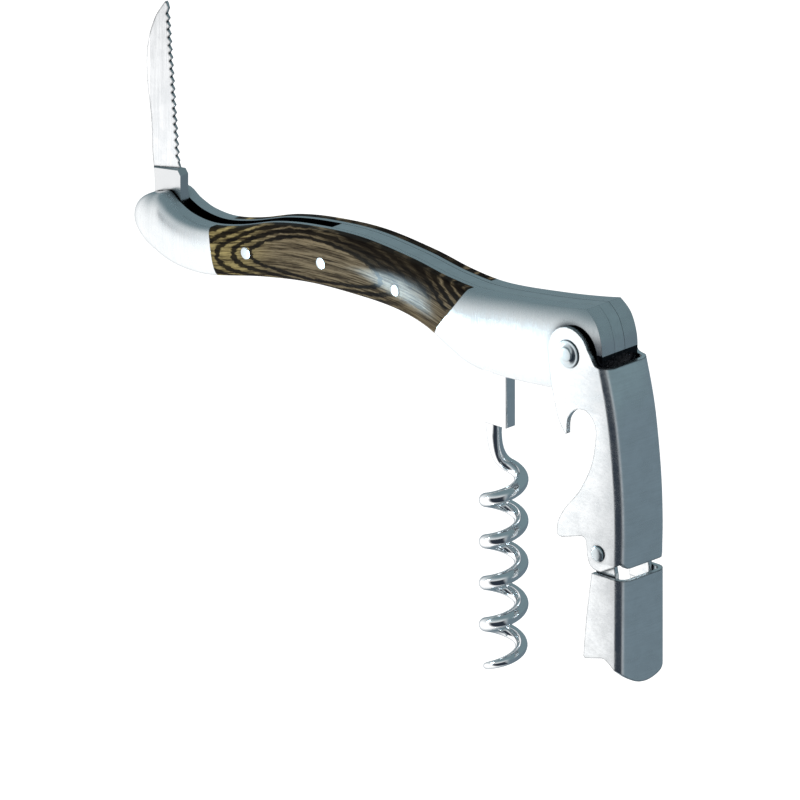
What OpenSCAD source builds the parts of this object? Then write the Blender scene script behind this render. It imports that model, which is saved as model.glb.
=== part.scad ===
// Lever corkscrew: a curved handle with a folding foil knife, a folding worm and a two-step lever.
// The origin is on the worm's axis, level with the worm's hinge pin. +X runs along the handle
// towards the lever, +Z is up, and Y is across. Outlines are measured from the lever's rivet.

/* [Handle] */
// Length of the wooden grip along the handle
grip_l = 60; // [56:0.5:66]
// Width of the handle across the wooden scales
grip_w = 11; // [10.4:0.1:12.4]
// Width of the steel nose
nose_w = 11.6; // [10.6:0.1:12.6]
// Width of the steel tail that the lever's ears straddle
tail_w = 9.8; // [9.2:0.1:10.6]
// Width of the flat along the handle's top and bottom edges
edge_w = 7.6; // [6.8:0.1:8.4]
// Width of the slot that the knife and the worm fold into
slot_w = 2.8; // [2.4:0.1:3.2]
// Thickness of the steel liner under each wooden scale
liner_t = 1; // [0.7:0.1:1.3]
// Diameter of the pins that hold the scales
scale_pin_d = 2.4; // [1.8:0.1:3.2]

/* [Knife] */
// Distance from the knife's hinge pin to its point
blade_l = 41.5; // [36:0.5:42.5]
// Thickness of the blade
blade_t = 2.2; // [1.6:0.1:2.2]
// Width of the blade where it is widest
blade_w = 6; // [5.4:0.1:6.4]
// Distance between two teeth of the edge
tooth_pitch = 1.55; // [1.2:0.05:2.2]
// Depth of the teeth
tooth_depth = 0.75; // [0.4:0.05:1]
// Diameter of the knife's hinge pin
knife_pin_d = 3; // [2:0.1:3.6]
// Height of the spring's arm along the bottom of the handle
spring_arm_h = 1.9; // [1.4:0.1:2.4]

/* [Worm] */
// Outer diameter of the coil
coil_d = 9.4; // [8.6:0.1:9.4]
// Diameter of the coil's wire
wire_d = 2.7; // [2.2:0.1:2.8]
// Height of one turn of the coil
coil_pitch = 8.33; // [7.4:0.05:9]
// Number of turns of the coil
coil_turns = 4.8; // [4:0.1:5]
// Width of the worm's flat head
head_w = 5.8; // [5:0.1:6.2]
// Diameter of the worm's hinge pin
worm_pin_d = 2.4; // [1.6:0.1:2.8]

/* [Lever] */
// Distance from the lever's rivet to the step rivets
lever_l = 39; // [37:0.25:41]
// Thickness of the levers' sheet steel
sheet_t = 1; // [0.8:0.05:1.1]
// Outer radius of the levers' bends
bend_r = 2; // [1.4:0.1:2.4]
// Radius of the lever's ears round the rivet
ear_r = 5.2; // [4.8:0.1:6]
// Diameter of the lever's rivet
rivet_d = 3.8; // [3:0.1:4.2]
// Diameter of the rivet's heads
rivet_head_d = 5.4; // [4.8:0.1:6]
// Diameter of the step rivets
step_rivet_d = 2; // [1.4:0.1:2.2]
// Distance from the step rivets to the foot of the lower lever
foot_l = 21.8; // [19:0.2:23]

/* [Clearances] */
// Radial clearance of a hinge pin in its bore
running_gap = 0.05; // [0.02:0.01:0.09]
// Radial clearance of a fixed pin in its bore
pin_gap = 0.02; // [0.01:0.01:0.05]
// Clearance on each side of a piece that turns between two walls
side_gap = 0.2; // [0.1:0.02:0.24]
// Clearance round a piece that folds into the handle
fold_gap = 0.4; // [0.3:0.05:0.6]

/* [Hidden] */
$fn = 48;
far = 40;               // reaches past the part from any point of an outline
steel = "silver";
bright = "gainsboro";
slate = "lightslategray";
wood = "saddlebrown";

// Places measured from the worm's hinge pin
rivet_x = 22.4;
rivet_z = 6.5;

// Places measured from the lever's rivet
worm_x = -rivet_x;
worm_z = -rivet_z;
grip_tail_x = -34;
grip_nose_x = grip_tail_x - grip_l;
nose_tip_x = grip_nose_x - 21.4;
nose_tip_z = -1.9;
nose_round = 6;         // length of the rounded tip of the nose
knife_x = grip_nose_x - 13.7;
knife_z = 0.5;
tang_r = 3.7;

half_slot = slot_w / 2;
liner_y = half_slot + liner_t;
head_t = slot_w - 1.2 * side_gap;
lever_in = tail_w / 2 + 1.4 * side_gap;
lever_out = lever_in + sheet_t;
step_x = 7.7;
step_z = -sqrt(lever_l * lever_l - step_x * step_x);
foot_z = step_z - foot_l;

// ---- Curves -------------------------------------------------------------------------------

// A smooth curve through points, with n steps from each point to the next
function curve(p, n) = concat(
    [for (i = [0 : len(p) - 2], k = [0 : n - 1])
        spline(p[max(i - 1, 0)], p[i], p[i + 1], p[min(i + 2, len(p) - 1)], k / n)],
    [p[len(p) - 1]]);
function spline(a, b, c, d, t) =
    b + (c - a) * t / 2 + (2 * a - 5 * b + 4 * c - d) * t * t / 2
    + (3 * b - a - 3 * c + d) * t * t * t / 2;

// The value at x of a smooth line through rows of [x, value]: slopes are those of the
// neighbouring rows, so unevenly spaced rows give no overshoot
function slope(p, i) =
    let (a = p[max(i - 1, 0)], b = p[min(i + 1, len(p) - 1)]) (b[1] - a[1]) / (b[0] - a[0]);
function row_at(p, x, i = 0) = i >= len(p) - 2 || x < p[i + 1][0] ? i : row_at(p, x, i + 1);
function value(p, x) =
    let (i = row_at(p, x), w = p[i + 1][0] - p[i][0], t = (x - p[i][0]) / w)
    p[i][1] * (1 + 2 * t) * (1 - t) * (1 - t) + slope(p, i) * w * t * (1 - t) * (1 - t)
    + p[i + 1][1] * t * t * (3 - 2 * t) - slope(p, i + 1) * w * t * t * (1 - t);

function arc(c, r, from, to, n) =
    [for (i = [0 : n]) let (a = from + (to - from) * i / n) c + r * [cos(a), sin(a)]];

// ---- Handle form --------------------------------------------------------------------------

// Where an outline row of the nose, the grip (as a share of its length) or the tail lies
function nose(d) = grip_nose_x - d;
function grip(f) = grip_nose_x + grip_l * f;

top_rows = [
    [nose(22), 3.4], [nose(18), 3.9], [nose(15.5), 4.3], [nose(13), 4.9], [nose(10.6), 3.3],
    [nose(7), 1.85], [nose(1.5), 1.4], [grip(0.09), 2.75], [grip(0.25), 5.8], [grip(0.41), 7.5],
    [grip(0.62), 8.4], [grip(0.84), 7.4], [grip_tail_x, 5.95], [-25, 5.5], [-11, 7],
    [0, 8.7], [9, 10.6]];
bottom_rows = [
    [nose(22), -4.2], [nose(16), -6.4], [nose(12), -7.9], [nose(6), -8.5], [nose(0), -8],
    [grip(0.22), -5.1], [grip(0.43), -3.2], [grip(0.65), -2.7], [grip(0.78), -2.9],
    [grip(0.87), -3.7], [-37.5, -5], [-32, -7.7], [-28, -9.3], [-23.5, -9.9], [-15, -9.6],
    [-6, -8.8], [0, -8.4], [9, -8.2]];
flat_rows = [
    [nose(22), 2.2], [nose(14), 2.5], [nose(8), 3.2], [nose(0), edge_w / 2],
    [-25, edge_w / 2], [9, edge_w / 2 + 0.9]];
full_rows = [
    [nose(22), nose_w / 2 - 0.7], [nose(12), nose_w / 2], [nose(0), (nose_w + grip_w) / 4],
    [grip(0.3), grip_w / 2], [grip(0.85), grip_w / 2], [-29, (grip_w + tail_w) / 4],
    [-18, tail_w / 2], [9, tail_w / 2]];

// Share of the full section at x: a quarter of an ellipse over the rounded tip
function tip_share(x) =
    let (d = nose_tip_x + nose_round - x) d <= 0 ? 1 : sqrt(1 - pow(d / nose_round, 2));
function top_z(x) = nose_tip_z + (value(top_rows, x) - nose_tip_z) * tip_share(x);
function bottom_z(x) = nose_tip_z + (value(bottom_rows, x) - nose_tip_z) * tip_share(x);
function flat_y(x) = half_slot + (value(flat_rows, x) - half_slot) * tip_share(x);
function full_y(x) = half_slot + (value(full_rows, x) - half_slot) * tip_share(x);

// Stations along the handle: close together on the rounded tip, even after it
tip_steps = 6;
tip_from = 6;           // angle of the first station on the tip's quarter ellipse
body_steps = 50;
body_from = nose_tip_x + nose_round;
body_to = 9;            // past the rounded tail end
stations = concat(
    [for (i = [0 : tip_steps - 1])
        nose_tip_x + nose_round * (1 - cos(tip_from + (90 - tip_from) * i / tip_steps))],
    [for (i = [0 : body_steps]) body_from + (body_to - body_from) * i / body_steps]);

// One side's section at x: flat inside, flat edges, and a crowned flank
flank_steps = 9;
flank_power = 0.8;      // below 1 the flank is fuller than an ellipse
function section(x) =
    let (t = top_z(x), b = bottom_z(x), f = flat_y(x), w = full_y(x))
    concat(
        [[x, half_slot, t], [x, half_slot, b]],
        [for (i = [0 : flank_steps]) let (a = 180 * i / flank_steps)
            [x, f + (w - f) * pow(sin(a), flank_power), (t + b) / 2 - (t - b) / 2 * cos(a)]]);

// A closed solid through rings of points that all have the same count
module loft(rings) {
    n = len(rings[0]);
    last = len(rings) - 1;
    polyhedron(
        points = [for (ring = rings, p = ring) p],
        faces = concat(
            [[for (i = [0 : n - 1]) i]],
            [[for (i = [n - 1 : -1 : 0]) last * n + i]],
            [for (k = [0 : last - 1], i = [0 : n - 1], half = [0, 1])
                let (j = (i + 1) % n)
                half == 0 ? [k * n + i, (k + 1) * n + i, (k + 1) * n + j]
                : [k * n + i, (k + 1) * n + j, k * n + j]]));
}

// Side view outline of the rounded tail end, open towards the nose
tail_end = concat(
    [[3.4, far]],
    curve([[3.4, 9.4], [6, 6.9], [7.4, 3], [7.5, -0.7], [6.8, -4.1], [4.8, -6.8], [2, -9]], 3),
    [[0, -far], [nose_tip_x - far, -far], [nose_tip_x - far, far]]);

// Extrudes a side view outline from y0 to y1
module plate(y0, y1)
    translate([0, y1, 0]) rotate([90, 0, 0]) linear_extrude(y1 - y0) children();
// A cylinder along Y from y0 to y1 at a place of the side view
module rod(x, z, d, y0, y1)
    translate([x, y1, z]) rotate([90, 0, 0]) cylinder(h = y1 - y0, d = d);
// Moves what is measured from the lever's rivet to its place
module from_rivet() translate([rivet_x, 0, rivet_z]) children();

module handle_side() intersection() {
    loft([for (x = stations) section(x)]);
    plate(0, far) polygon(tail_end);
}

// Side view outline of the wooden scale between its two seams
module scale_outline() polygon(concat(
    [[grip_nose_x - 1, far]],
    curve([[grip_nose_x - 0.6, 2.4], [grip_nose_x + 1, -1.6], [grip_nose_x + 2.1, -8.8]], 5),
    [[grip_nose_x + 2.1, -far], [grip_tail_x - 2.9, -far]],
    curve([
        [grip_tail_x - 2.9, -6.2], [grip_tail_x + 0.6, -1.9],
        [grip_tail_x + 3.8, 2.1], [grip_tail_x + 7, 6.6]], 4),
    [[grip_tail_x + 7, far]]));

// Places of the pins in the side view: the nose pin, the middle pin and the spring's pin
function at_mid(x, drop) = [x, (top_z(x) + bottom_z(x)) / 2 - drop];
nose_pin = at_mid(grip(0.167), 0.1);
middle_pin = at_mid(grip(0.49), 0.6);
spring_hole = at_mid(grip(0.81), 1);
blind_y = liner_y + 1.6;    // how far the hidden hinge pins reach into each frame
ear_pocket = [1, 0.3];      // centre of the pocket beside the ear, from the rivet
ear_pocket_y = tail_w / 2 - 1.6;
boss_r = 3.4;

module frame_half() difference() {
    handle_side();
    plate(liner_y, far) scale_outline();
    plate(ear_pocket_y, far) difference() {
        translate(ear_pocket) circle(ear_r);
        circle(boss_r);
    }
    rod(0, 0, rivet_d + 2 * pin_gap, 0, far);
    rod(knife_x, knife_z, knife_pin_d + 2 * pin_gap, 0, blind_y);
    rod(worm_x, worm_z, worm_pin_d + 2 * pin_gap, 0, blind_y);
    for (at = [nose_pin, middle_pin, spring_hole])
        rod(at[0], at[1], scale_pin_d + 2 * pin_gap, 0, far);
}

module scale_half() difference() {
    intersection() {
        handle_side();
        plate(liner_y, far) scale_outline();
    }
    for (at = [nose_pin, middle_pin, spring_hole])
        rod(at[0], at[1], scale_pin_d + 2 * pin_gap, 0, far);
}

module back_frame() from_rivet() color(steel) frame_half();
module front_frame() from_rivet() color(steel) mirror([0, 1, 0]) frame_half();
module back_scale() from_rivet() color(wood) scale_half();
module front_scale() from_rivet() color(wood) mirror([0, 1, 0]) scale_half();

// A short pin from the liner's inner face to the crown of the scale
module scale_pin(at) rod(at[0], at[1], scale_pin_d, half_slot, full_y(at[0]));
module back_nose_pin() from_rivet() color(bright) scale_pin(nose_pin);
module back_middle_pin() from_rivet() color(bright) scale_pin(middle_pin);
module front_nose_pin() from_rivet() color(bright) mirror([0, 1, 0]) scale_pin(nose_pin);
module front_middle_pin() from_rivet() color(bright) mirror([0, 1, 0]) scale_pin(middle_pin);
module spring_pin() from_rivet() color(bright)
    rod(spring_hole[0], spring_hole[1], scale_pin_d, -full_y(spring_hole[0]), full_y(spring_hole[0]));

// ---- Spring between the frames -------------------------------------------------------------

slot_end_x = knife_x + blade_l + 2 * fold_gap;
heel_d = 9;             // distance of the blade's heel from the knife's hinge
spring_tip_d = 3;       // how far the spring's arm reaches past the knife's hinge

// The room of the folding knife: round its tang, open to the top and to the nose
module knife_room() {
    floor_z = knife_z - tang_r - fold_gap;
    translate([knife_x, knife_z]) circle(tang_r + fold_gap);
    polygon([
        [knife_x, far], [slot_end_x, far], [slot_end_x, edge_in_z(blade_l) - 1.8 * fold_gap],
        [knife_x + heel_d, edge_in_z(heel_d) - 2.8 * fold_gap], [knife_x, floor_z],
        [knife_x - far, floor_z], [knife_x - far, far]]);
    // below the tang the spring ends, short of the nose
    translate([knife_x - spring_tip_d - far, -far]) square([far, 2 * far]);
}
// Height of the folded knife's edge at a distance from its hinge
function edge_in_z(d) = knife_z - edge_x(d);

// The room of the folding worm: round its hinge, open to the bottom
head_l = 15;
shank_l = 2.4;          // how far the flat of the head runs down beside the shoulder
head_left = -4;
head_right = head_left + head_w;
head_top_r = 3;
coil_room_x = worm_x - head_l - 6;      // where the folded coil starts to bulge past the slot
module worm_room() {
    translate([worm_x, worm_z]) circle(head_top_r + fold_gap);
    polygon([
        [worm_x + head_right + fold_gap, worm_z], [worm_x + head_right + fold_gap, -far],
        [coil_room_x, -far], [coil_room_x, worm_z - head_left - fold_gap],
        [worm_x - head_top_r, worm_z - head_left + fold_gap]]);
    translate([worm_x, worm_z]) circle(-head_left + fold_gap);
}

module back_spring() from_rivet() color(slate) difference() {
    plate(-half_slot, half_slot) difference() {
        intersection() {
            polygon(concat(
                [for (x = stations) [x, top_z(x)]],
                [for (i = [len(stations) - 1 : -1 : 0]) [stations[i], bottom_z(stations[i])]]));
            polygon(tail_end);
        }
        knife_room();
        worm_room();
        spring_relief();
    }
    rod(0, 0, rivet_d + 2 * pin_gap, -far, far);
    rod(spring_hole[0], spring_hole[1], scale_pin_d + 2 * pin_gap, -far, far);
}

// Opens the room above the spring's arm, which is bent along the bottom edge
relief_from = knife_x + 4;
relief_to = slot_end_x - 3;
relief_steps = 10;
module spring_relief() polygon(concat(
    [for (i = [0 : relief_steps])
        let (x = relief_from + (relief_to - relief_from) * i / relief_steps)
        [x, bottom_z(x) + spring_arm_h]],
    [[relief_to, edge_in_z(blade_l)], [relief_from, knife_z]]));

module knife_pin() from_rivet() color(bright)
    rod(knife_x, knife_z, knife_pin_d, -blind_y, blind_y);
module worm_pin() from_rivet() color(bright)
    rod(worm_x, worm_z, worm_pin_d, -blind_y, blind_y);

// ---- Knife ---------------------------------------------------------------------------------

// Places on the knife, measured from its hinge, standing up: the edge faces +X
edge_start = 10.4;
edge_end = blade_l - 1.2;
edge_lean = 2.8;            // how far the toothed edge leans towards the spine
function edge_x(d) = 1.7 - edge_lean * max(d - edge_start, 0) / (blade_l - edge_start);
spine = [
    [-tang_r, 0.5], [-3.8, 6], [-4.4, 11], [edge_x(18) - blade_w + 0.3, 18],
    [edge_x(25) - blade_w, 25], [edge_x(31) - blade_w + 0.5, blade_l - 10],
    [edge_x(blade_l) - 2.9, blade_l - 3.8], [edge_x(blade_l) - 0.7, blade_l]];
teeth = floor((edge_end - edge_start) / tooth_pitch);
heel_x = 2.9;

module blade_outline() polygon(concat(
    curve(spine, 4),
    [[edge_x(edge_end) - 0.4, blade_l - 0.3], [edge_x(edge_end), edge_end]],
    [for (i = [teeth - 1 : -1 : 0], side = [0, 1])
        let (d = edge_start + (i + (side == 0 ? 0.5 : 0)) * tooth_pitch)
        [edge_x(d) - (side == 0 ? tooth_depth : 0), d]],
    [
        [edge_x(0) - 0.2, edge_start - 0.4], [edge_x(0) + 0.3, heel_d], [heel_x, heel_d - 1.2],
        [heel_x, 5], [heel_x + 0.2, 2], [heel_x, 0]],
    arc([0, 0], tang_r, -30, -180, 12)));

// A wedge that leaves the blade's full thickness at its spine and a thin edge
edge_t = 0.5;
grind_x = -blade_w * 0.72;  // where the wedge starts, near the spine
module grind(side)
    translate([0, 0, heel_d]) linear_extrude(far) polygon([
        [heel_x + 1, side * edge_t / 2], [edge_x(blade_l / 2) + 0.2, side * edge_t / 2],
        [grind_x, side * blade_t / 2], [grind_x, side * blade_t], [heel_x + 1, side * blade_t]]);

module knife_blade() from_rivet() color(bright) translate([knife_x, 0, knife_z]) difference() {
    plate(-blade_t / 2, blade_t / 2) blade_outline();
    rod(0, 0, knife_pin_d + 2 * running_gap, -far, far);
    for (side = [-1, 1]) grind(side);
}

// ---- Worm ----------------------------------------------------------------------------------

// Places on the worm, measured from its hinge pin, on the coil's axis
coil_r = (coil_d - wire_d) / 2;
coil_top = -24.2;
coil_from = 115;            // the side of the axis where the bend meets the coil
ring_steps = 22;            // rings on each turn
wire_sides = 10;
shoulder_steps = 8;
shank_x = -2.5;
shank_z = -13.5;
function coil_at(turn) =
    let (a = coil_from - 360 * turn) [coil_r * cos(a), coil_r * sin(a), coil_top - coil_pitch * turn];
// Way of the coil where it starts, for a fall of 1
coil_way =
    [2 * PI * coil_r * sin(coil_from), -2 * PI * coil_r * cos(coil_from), -coil_pitch] / coil_pitch;
// The shoulder leaves the head straight down and meets the coil along it
leave_pull = 11;
meet_pull = 3.85;
function shoulder_at(t) =
    [shank_x, 0, shank_z] * (1 + 2 * t) * (1 - t) * (1 - t)
    + [0, 0, -leave_pull] * t * (1 - t) * (1 - t)
    + coil_at(0) * t * t * (3 - 2 * t) - coil_way * meet_pull * t * t * (1 - t);
wire_path = concat(
    [for (i = [0 : shoulder_steps - 1]) shoulder_at(i / shoulder_steps)],
    [for (i = [0 : round(coil_turns * ring_steps)]) coil_at(i / ring_steps)]);
// The last stretch of the wire is ground to a point
point_steps = 18;
point_share = 0.08;         // the tip's thickness as a share of the wire's
function wire_r(i) =
    let (left = min(len(wire_path) - 1 - i, point_steps))
    wire_d / 2 * (point_share + (1 - point_share) * sqrt(left / point_steps));
// The wire is this share wider, in the plane of the head, where it leaves the head
shank_extra = 0.32;
function wider(i) = 1 + shank_extra * max(0, 1 - i / shoulder_steps);
function unit(v) = v / norm(v);
function ring_at(i) =
    let (
        a = wire_path[max(i - 1, 0)],
        b = wire_path[min(i + 1, len(wire_path) - 1)],
        way = unit(b - a),
        across = unit(cross(way, [0, 1, 0.001])),      // never quite along the way
        up = cross(across, way))
    [for (k = [0 : wire_sides - 1]) let (t = -360 * k / wire_sides)
        wire_path[i] + wire_r(i) * (across * wider(i) * cos(t) + up * sin(t))];

module worm_wire() loft([for (i = [0 : len(wire_path) - 1]) ring_at(i)]);

module worm_head() difference() {
    plate(-head_t / 2, head_t / 2) polygon(concat(
        arc([0, 0], head_top_r, 20, 160, 10),
        [[head_left, -3], [head_left, -head_l + 0.5], [shank_x - wire_d * 0.45, -head_l - shank_l],
            [shank_x + wire_d / 2, -head_l - shank_l], [shank_x + wire_d / 2, -head_l],
            [head_right, -head_l], [head_right, -3]]));
    rod(0, 0, worm_pin_d + 2 * running_gap, -far, far);
}

module worm() color(bright) {
    worm_head();
    worm_wire();
}

// ---- Levers --------------------------------------------------------------------------------

// Where the web's outer face lies, from the lever's rivet, at heights from the step to the ears
web_rows = [
    [step_z - 4, 14.1], [step_z, 14.2], [step_z * 0.86, 14.3], [step_z * 0.65, 14], [-16, 13.1],
    [-9, 12], [-1, 10], [7, 7.6]];
web_from = step_z - 4;
web_to = 7;
web_steps = 16;
corner_steps = 4;
open_x = -12;               // past the flanges' free edges
// A U section of bent sheet, open towards -X, whose web's outer face is at x
function channel(x, z) = concat(
    [[open_x, -lever_out, z]],
    corner(x, -1, bend_r, z),
    corner(x, 1, bend_r, z),
    [[open_x, lever_out, z], [open_x, lever_in, z]],
    back_to_front(corner(x, 1, bend_r - sheet_t, z)),
    back_to_front(corner(x, -1, bend_r - sheet_t, z)),
    [[open_x, -lever_in, z]]);
// A quarter circle of radius r round the bend's centre on one side
function corner(x, side, r, z) = [
    for (i = [0 : corner_steps]) let (a = 90 * (i / corner_steps + min(side, 0)))
        [x - bend_r + r * cos(a), side * (lever_out - bend_r) + r * sin(a), z]];
function back_to_front(p) = [for (i = [len(p) - 1 : -1 : 0]) p[i]];

// Side view outline of the upper lever: ear, round end with the step rivets, first step,
// belly, hollow for a crown cap's rim, and the hook that lifts it
ear_end = 22;               // angle where the ear's arc runs out into the web
web_top_z = -1.1;
web_low_z = -0.4;
function low(x, z) = [step_x + x, step_z + z];
upper_outline = concat(
    arc([0, 0], ear_r, 180, ear_end, 12),
    curve([
        [ear_r * cos(ear_end), ear_r * sin(ear_end)], [5.9, 0.4], [6.7, -0.8],
        [7.8, web_top_z]], 3),
    [[far, web_top_z], [far, step_z + web_low_z]],
    curve([
        low(5.9, web_low_z), low(4.6, -1.5), low(2.6, -2.5), low(0.4, -3.5), low(-1.8, -3.1),
        low(-2.7, -1.4), low(-3, 0.8), low(-3.3, 2.1), low(-4.2, 2.5)], 3),
    curve([
        low(-9.2, 1.1), low(-10.3, 1.2), low(-10.6, 2.1), low(-10.3, 4.2), low(-8.5, 7.2),
        low(-4.9, 11.4), low(-2, 16.7), [6.9, -16.6], [6.9, -12.9], [4.8, -10.5],
        [1.9, -10.8], [-0.1, -13], [-0.4, -16.1]], 4),
    curve([[-0.4, -16.1], [-1, -16], [-2.7, -13.3], [-4.1, -8.2], [-4.8, -4.2], [-ear_r, 0]], 3));

// The web reaches below the flanges and ends with bevelled corners
web_bevel = 1.4;
bevel_h = 1.8;
web_end_z = step_z - 1.9;
web_end_h = 9;
web_end_x = 12.2;           // between the flanges' lower end and the web
module web_end() translate([web_end_x, 0, web_end_z]) rotate([90, 0, 90])
    linear_extrude(far) polygon([
        [-lever_out, web_end_h], [-lever_out, bevel_h], [-lever_out + web_bevel, 0],
        [lever_out - web_bevel, 0], [lever_out, bevel_h], [lever_out, web_end_h]]);

module upper_lever() from_rivet() color(bright) difference() {
    loft([for (i = [0 : web_steps])
        let (z = web_from + (web_to - web_from) * i / web_steps) channel(value(web_rows, z), z)]);
    difference() {
        plate(-far, far) difference() {
            square(4 * far, center = true);
            polygon(upper_outline);
        }
        web_end();
    }
    rod(0, 0, rivet_d + 2 * running_gap, -far, far);
    rod(step_x, step_z, step_rivet_d + 2 * pin_gap, -far, far);
}

rivet_head_h = 0.25;
rivet_head_y = lever_out + 0.05;
dome_h = 0.45;
dome_foot_d = 4.3;
dome_top_d = 2.8;
// A rivet's head, revolved: a rim rounded over 0.7 of its height and a dome in the middle
module rivet_head(d, h, middle) rotate_extrude() polygon(concat(
    [[0, 0], [d / 2, 0]],
    arc([d / 2 - h * 0.7, h * 0.3], h * 0.7, 0, 90, 6),
    middle));

module lever_rivet() from_rivet() color(bright) {
    rod(0, 0, rivet_d, -rivet_head_y, rivet_head_y);
    for (side = [-1, 1])
        translate([0, side * rivet_head_y, 0]) rotate([-90 * side, 0, 0])
            rivet_head(rivet_head_d, rivet_head_h, [
                [dome_foot_d / 2, rivet_head_h],
                [dome_top_d / 2, rivet_head_h + 0.9 * dome_h],
                [0, rivet_head_h + dome_h]]);
}

// The lower lever's tabs lie inside the upper lever's flanges
tab_out = lever_in - side_gap / 2;
tab_in = tab_out - sheet_t;
step_head_d = step_rivet_d + 1.1;
step_head_h = 0.5;
step_dome_h = 0.62;
module step_rivet() translate([step_x, 0, step_z]) {
    rod(0, 0, step_rivet_d, tab_in, lever_out);
    translate([0, lever_out, 0]) rotate([-90, 0, 0])
        rivet_head(step_head_d, step_head_h, [[0, step_dome_h]]);
}
module back_step_rivet() from_rivet() color(bright) step_rivet();
module front_step_rivet() from_rivet() color(bright) mirror([0, 1, 0]) step_rivet();

// Side view outline of the lower lever: its web tapers and curls in to the foot
lower_top = step_z - 4.3;
lower_web_x = 14.3;
lower_outline = concat(
    [[6, lower_top], [far, lower_top], [far, foot_z - 5], [13.1, foot_z - 5]],
    curve([
        [13.1, foot_z - 5], [12.9, foot_z - 2.2], [11.9, foot_z - 0.9], [10.6, foot_z + 0.2],
        [9.4, foot_z + 0.9], [8.6, foot_z + 1]], 3),
    curve([[4.4, foot_z], [3.95, foot_z + 0.3], [3.95, foot_z + 1]], 2),
    curve([[3.95, foot_z + 1], [4.7, (lower_top + foot_z) / 2], [6, lower_top]], 4));

module lower_channel() linear_extrude(far) difference() {
    channel_plan(lever_out, lower_web_x, bend_r);
    channel_plan(lever_in, lower_web_x - sheet_t, bend_r - sheet_t);
}
// Plan of a bar with two rounded corners at x
module channel_plan(w, x, r) {
    translate([open_x, -w]) square([x - r - open_x, 2 * w]);
    translate([open_x, r - w]) square([x - open_x, 2 * (w - r)]);
    for (side = [-1, 1]) translate([x - r, side * (w - r)]) circle(r);
}
// Front view outline of the web, which ends in a round tongue below the foot
tongue_r = 8;
tongue_z = foot_z - 3.6;
module tongue() translate([0, 0, tongue_z]) rotate([90, 0, 90]) linear_extrude(far) {
    translate([0, tongue_r]) circle(tongue_r);
    translate([-tongue_r, tongue_r]) square([2 * tongue_r, far]);
}
module lower_lever() from_rivet() color(bright) difference() {
    union() {
        intersection() {
            translate([0, 0, lower_top - far]) lower_channel();
            plate(-far, far) polygon(lower_outline);
            tongue();
        }
        for (side = [0, 1]) mirror([0, side, 0]) lever_tab();
    }
    rod(step_x, step_z, step_rivet_d + 2 * running_gap, -far, far);
}
// A tab from inside the lower flange up round the step rivet
tab_r = 2.6;
tab_lap = 3;            // how far a tab lies on the inside of the lower flange
tab_step = 0.5;         // where it has stepped inwards, below the flange's top
lap_left = step_x - 1.5;
lap_right = step_x + 3.5;
module lever_tab() {
    plate(tab_in, tab_out) {
        translate([step_x, step_z]) circle(tab_r);
        polygon([
            [step_x - tab_r, step_z], [step_x + tab_r, step_z], [lap_right, lower_top],
            [lap_right, lower_top - tab_lap], [lap_left, lower_top - tab_lap], [lap_left, lower_top]]);
    }
    plate(tab_in, lever_in + sheet_t / 2) polygon([
        [lap_left, lower_top - tab_step], [lap_right, lower_top - tab_step],
        [lap_right, lower_top - tab_lap], [lap_left, lower_top - tab_lap]]);
}

front_frame();
back_frame();
front_scale();
back_scale();
back_spring();
front_nose_pin();
front_middle_pin();
back_nose_pin();
back_middle_pin();
spring_pin();
knife_pin();
worm_pin();
lever_rivet();
knife_blade();
worm();
upper_lever();
front_step_rivet();
back_step_rivet();
lower_lever();
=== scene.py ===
"""Lever corkscrew: smooth pieces, finishes, floor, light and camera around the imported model.

Lengths in the shape functions are in millimetres and become metres when a mesh is written.
Side view places are (x, z) measured from the lever's rivet, as in the part's own source.
"""

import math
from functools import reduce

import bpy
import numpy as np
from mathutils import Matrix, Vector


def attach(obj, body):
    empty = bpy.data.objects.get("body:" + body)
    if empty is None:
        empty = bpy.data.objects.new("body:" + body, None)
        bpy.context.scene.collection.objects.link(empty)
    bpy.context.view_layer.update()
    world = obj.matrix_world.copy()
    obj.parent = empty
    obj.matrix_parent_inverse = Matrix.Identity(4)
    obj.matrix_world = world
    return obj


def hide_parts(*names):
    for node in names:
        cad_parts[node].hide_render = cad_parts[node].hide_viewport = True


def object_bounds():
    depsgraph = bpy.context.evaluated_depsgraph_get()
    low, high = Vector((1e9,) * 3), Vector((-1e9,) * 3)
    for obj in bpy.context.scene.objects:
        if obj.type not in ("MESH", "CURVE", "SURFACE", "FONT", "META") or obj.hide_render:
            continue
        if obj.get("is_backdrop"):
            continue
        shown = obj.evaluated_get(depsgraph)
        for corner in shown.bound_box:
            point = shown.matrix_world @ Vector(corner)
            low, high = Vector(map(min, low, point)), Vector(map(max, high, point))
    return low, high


bl_info = {
    "name": "Lever Corkscrew",
    "version": (1, 0, 0),
    "blender": (4, 5, 0),
    "location": "View3D > Sidebar > Corkscrew",
    "description": "Builds the corkscrew's handle, knife, worm and levers with their finishes",
    "category": "Add Mesh",
}

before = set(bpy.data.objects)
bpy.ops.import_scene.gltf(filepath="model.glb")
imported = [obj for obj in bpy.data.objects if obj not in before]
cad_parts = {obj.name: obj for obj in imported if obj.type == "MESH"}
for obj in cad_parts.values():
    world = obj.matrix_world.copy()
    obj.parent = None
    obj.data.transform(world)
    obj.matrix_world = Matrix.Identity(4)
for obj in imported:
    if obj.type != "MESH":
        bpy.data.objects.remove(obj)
CAD_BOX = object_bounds()

MM = 0.001
RIVET = np.array([22.4, 0.0, 6.5])      # the lever's rivet, from the worm's hinge pin
FAR = 60.0                              # past the part from any point of an outline
FIXED_GAP, RUNNING_GAP = 0.04, 0.1      # on the diameter, of a fixed pin and of a hinge

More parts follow.
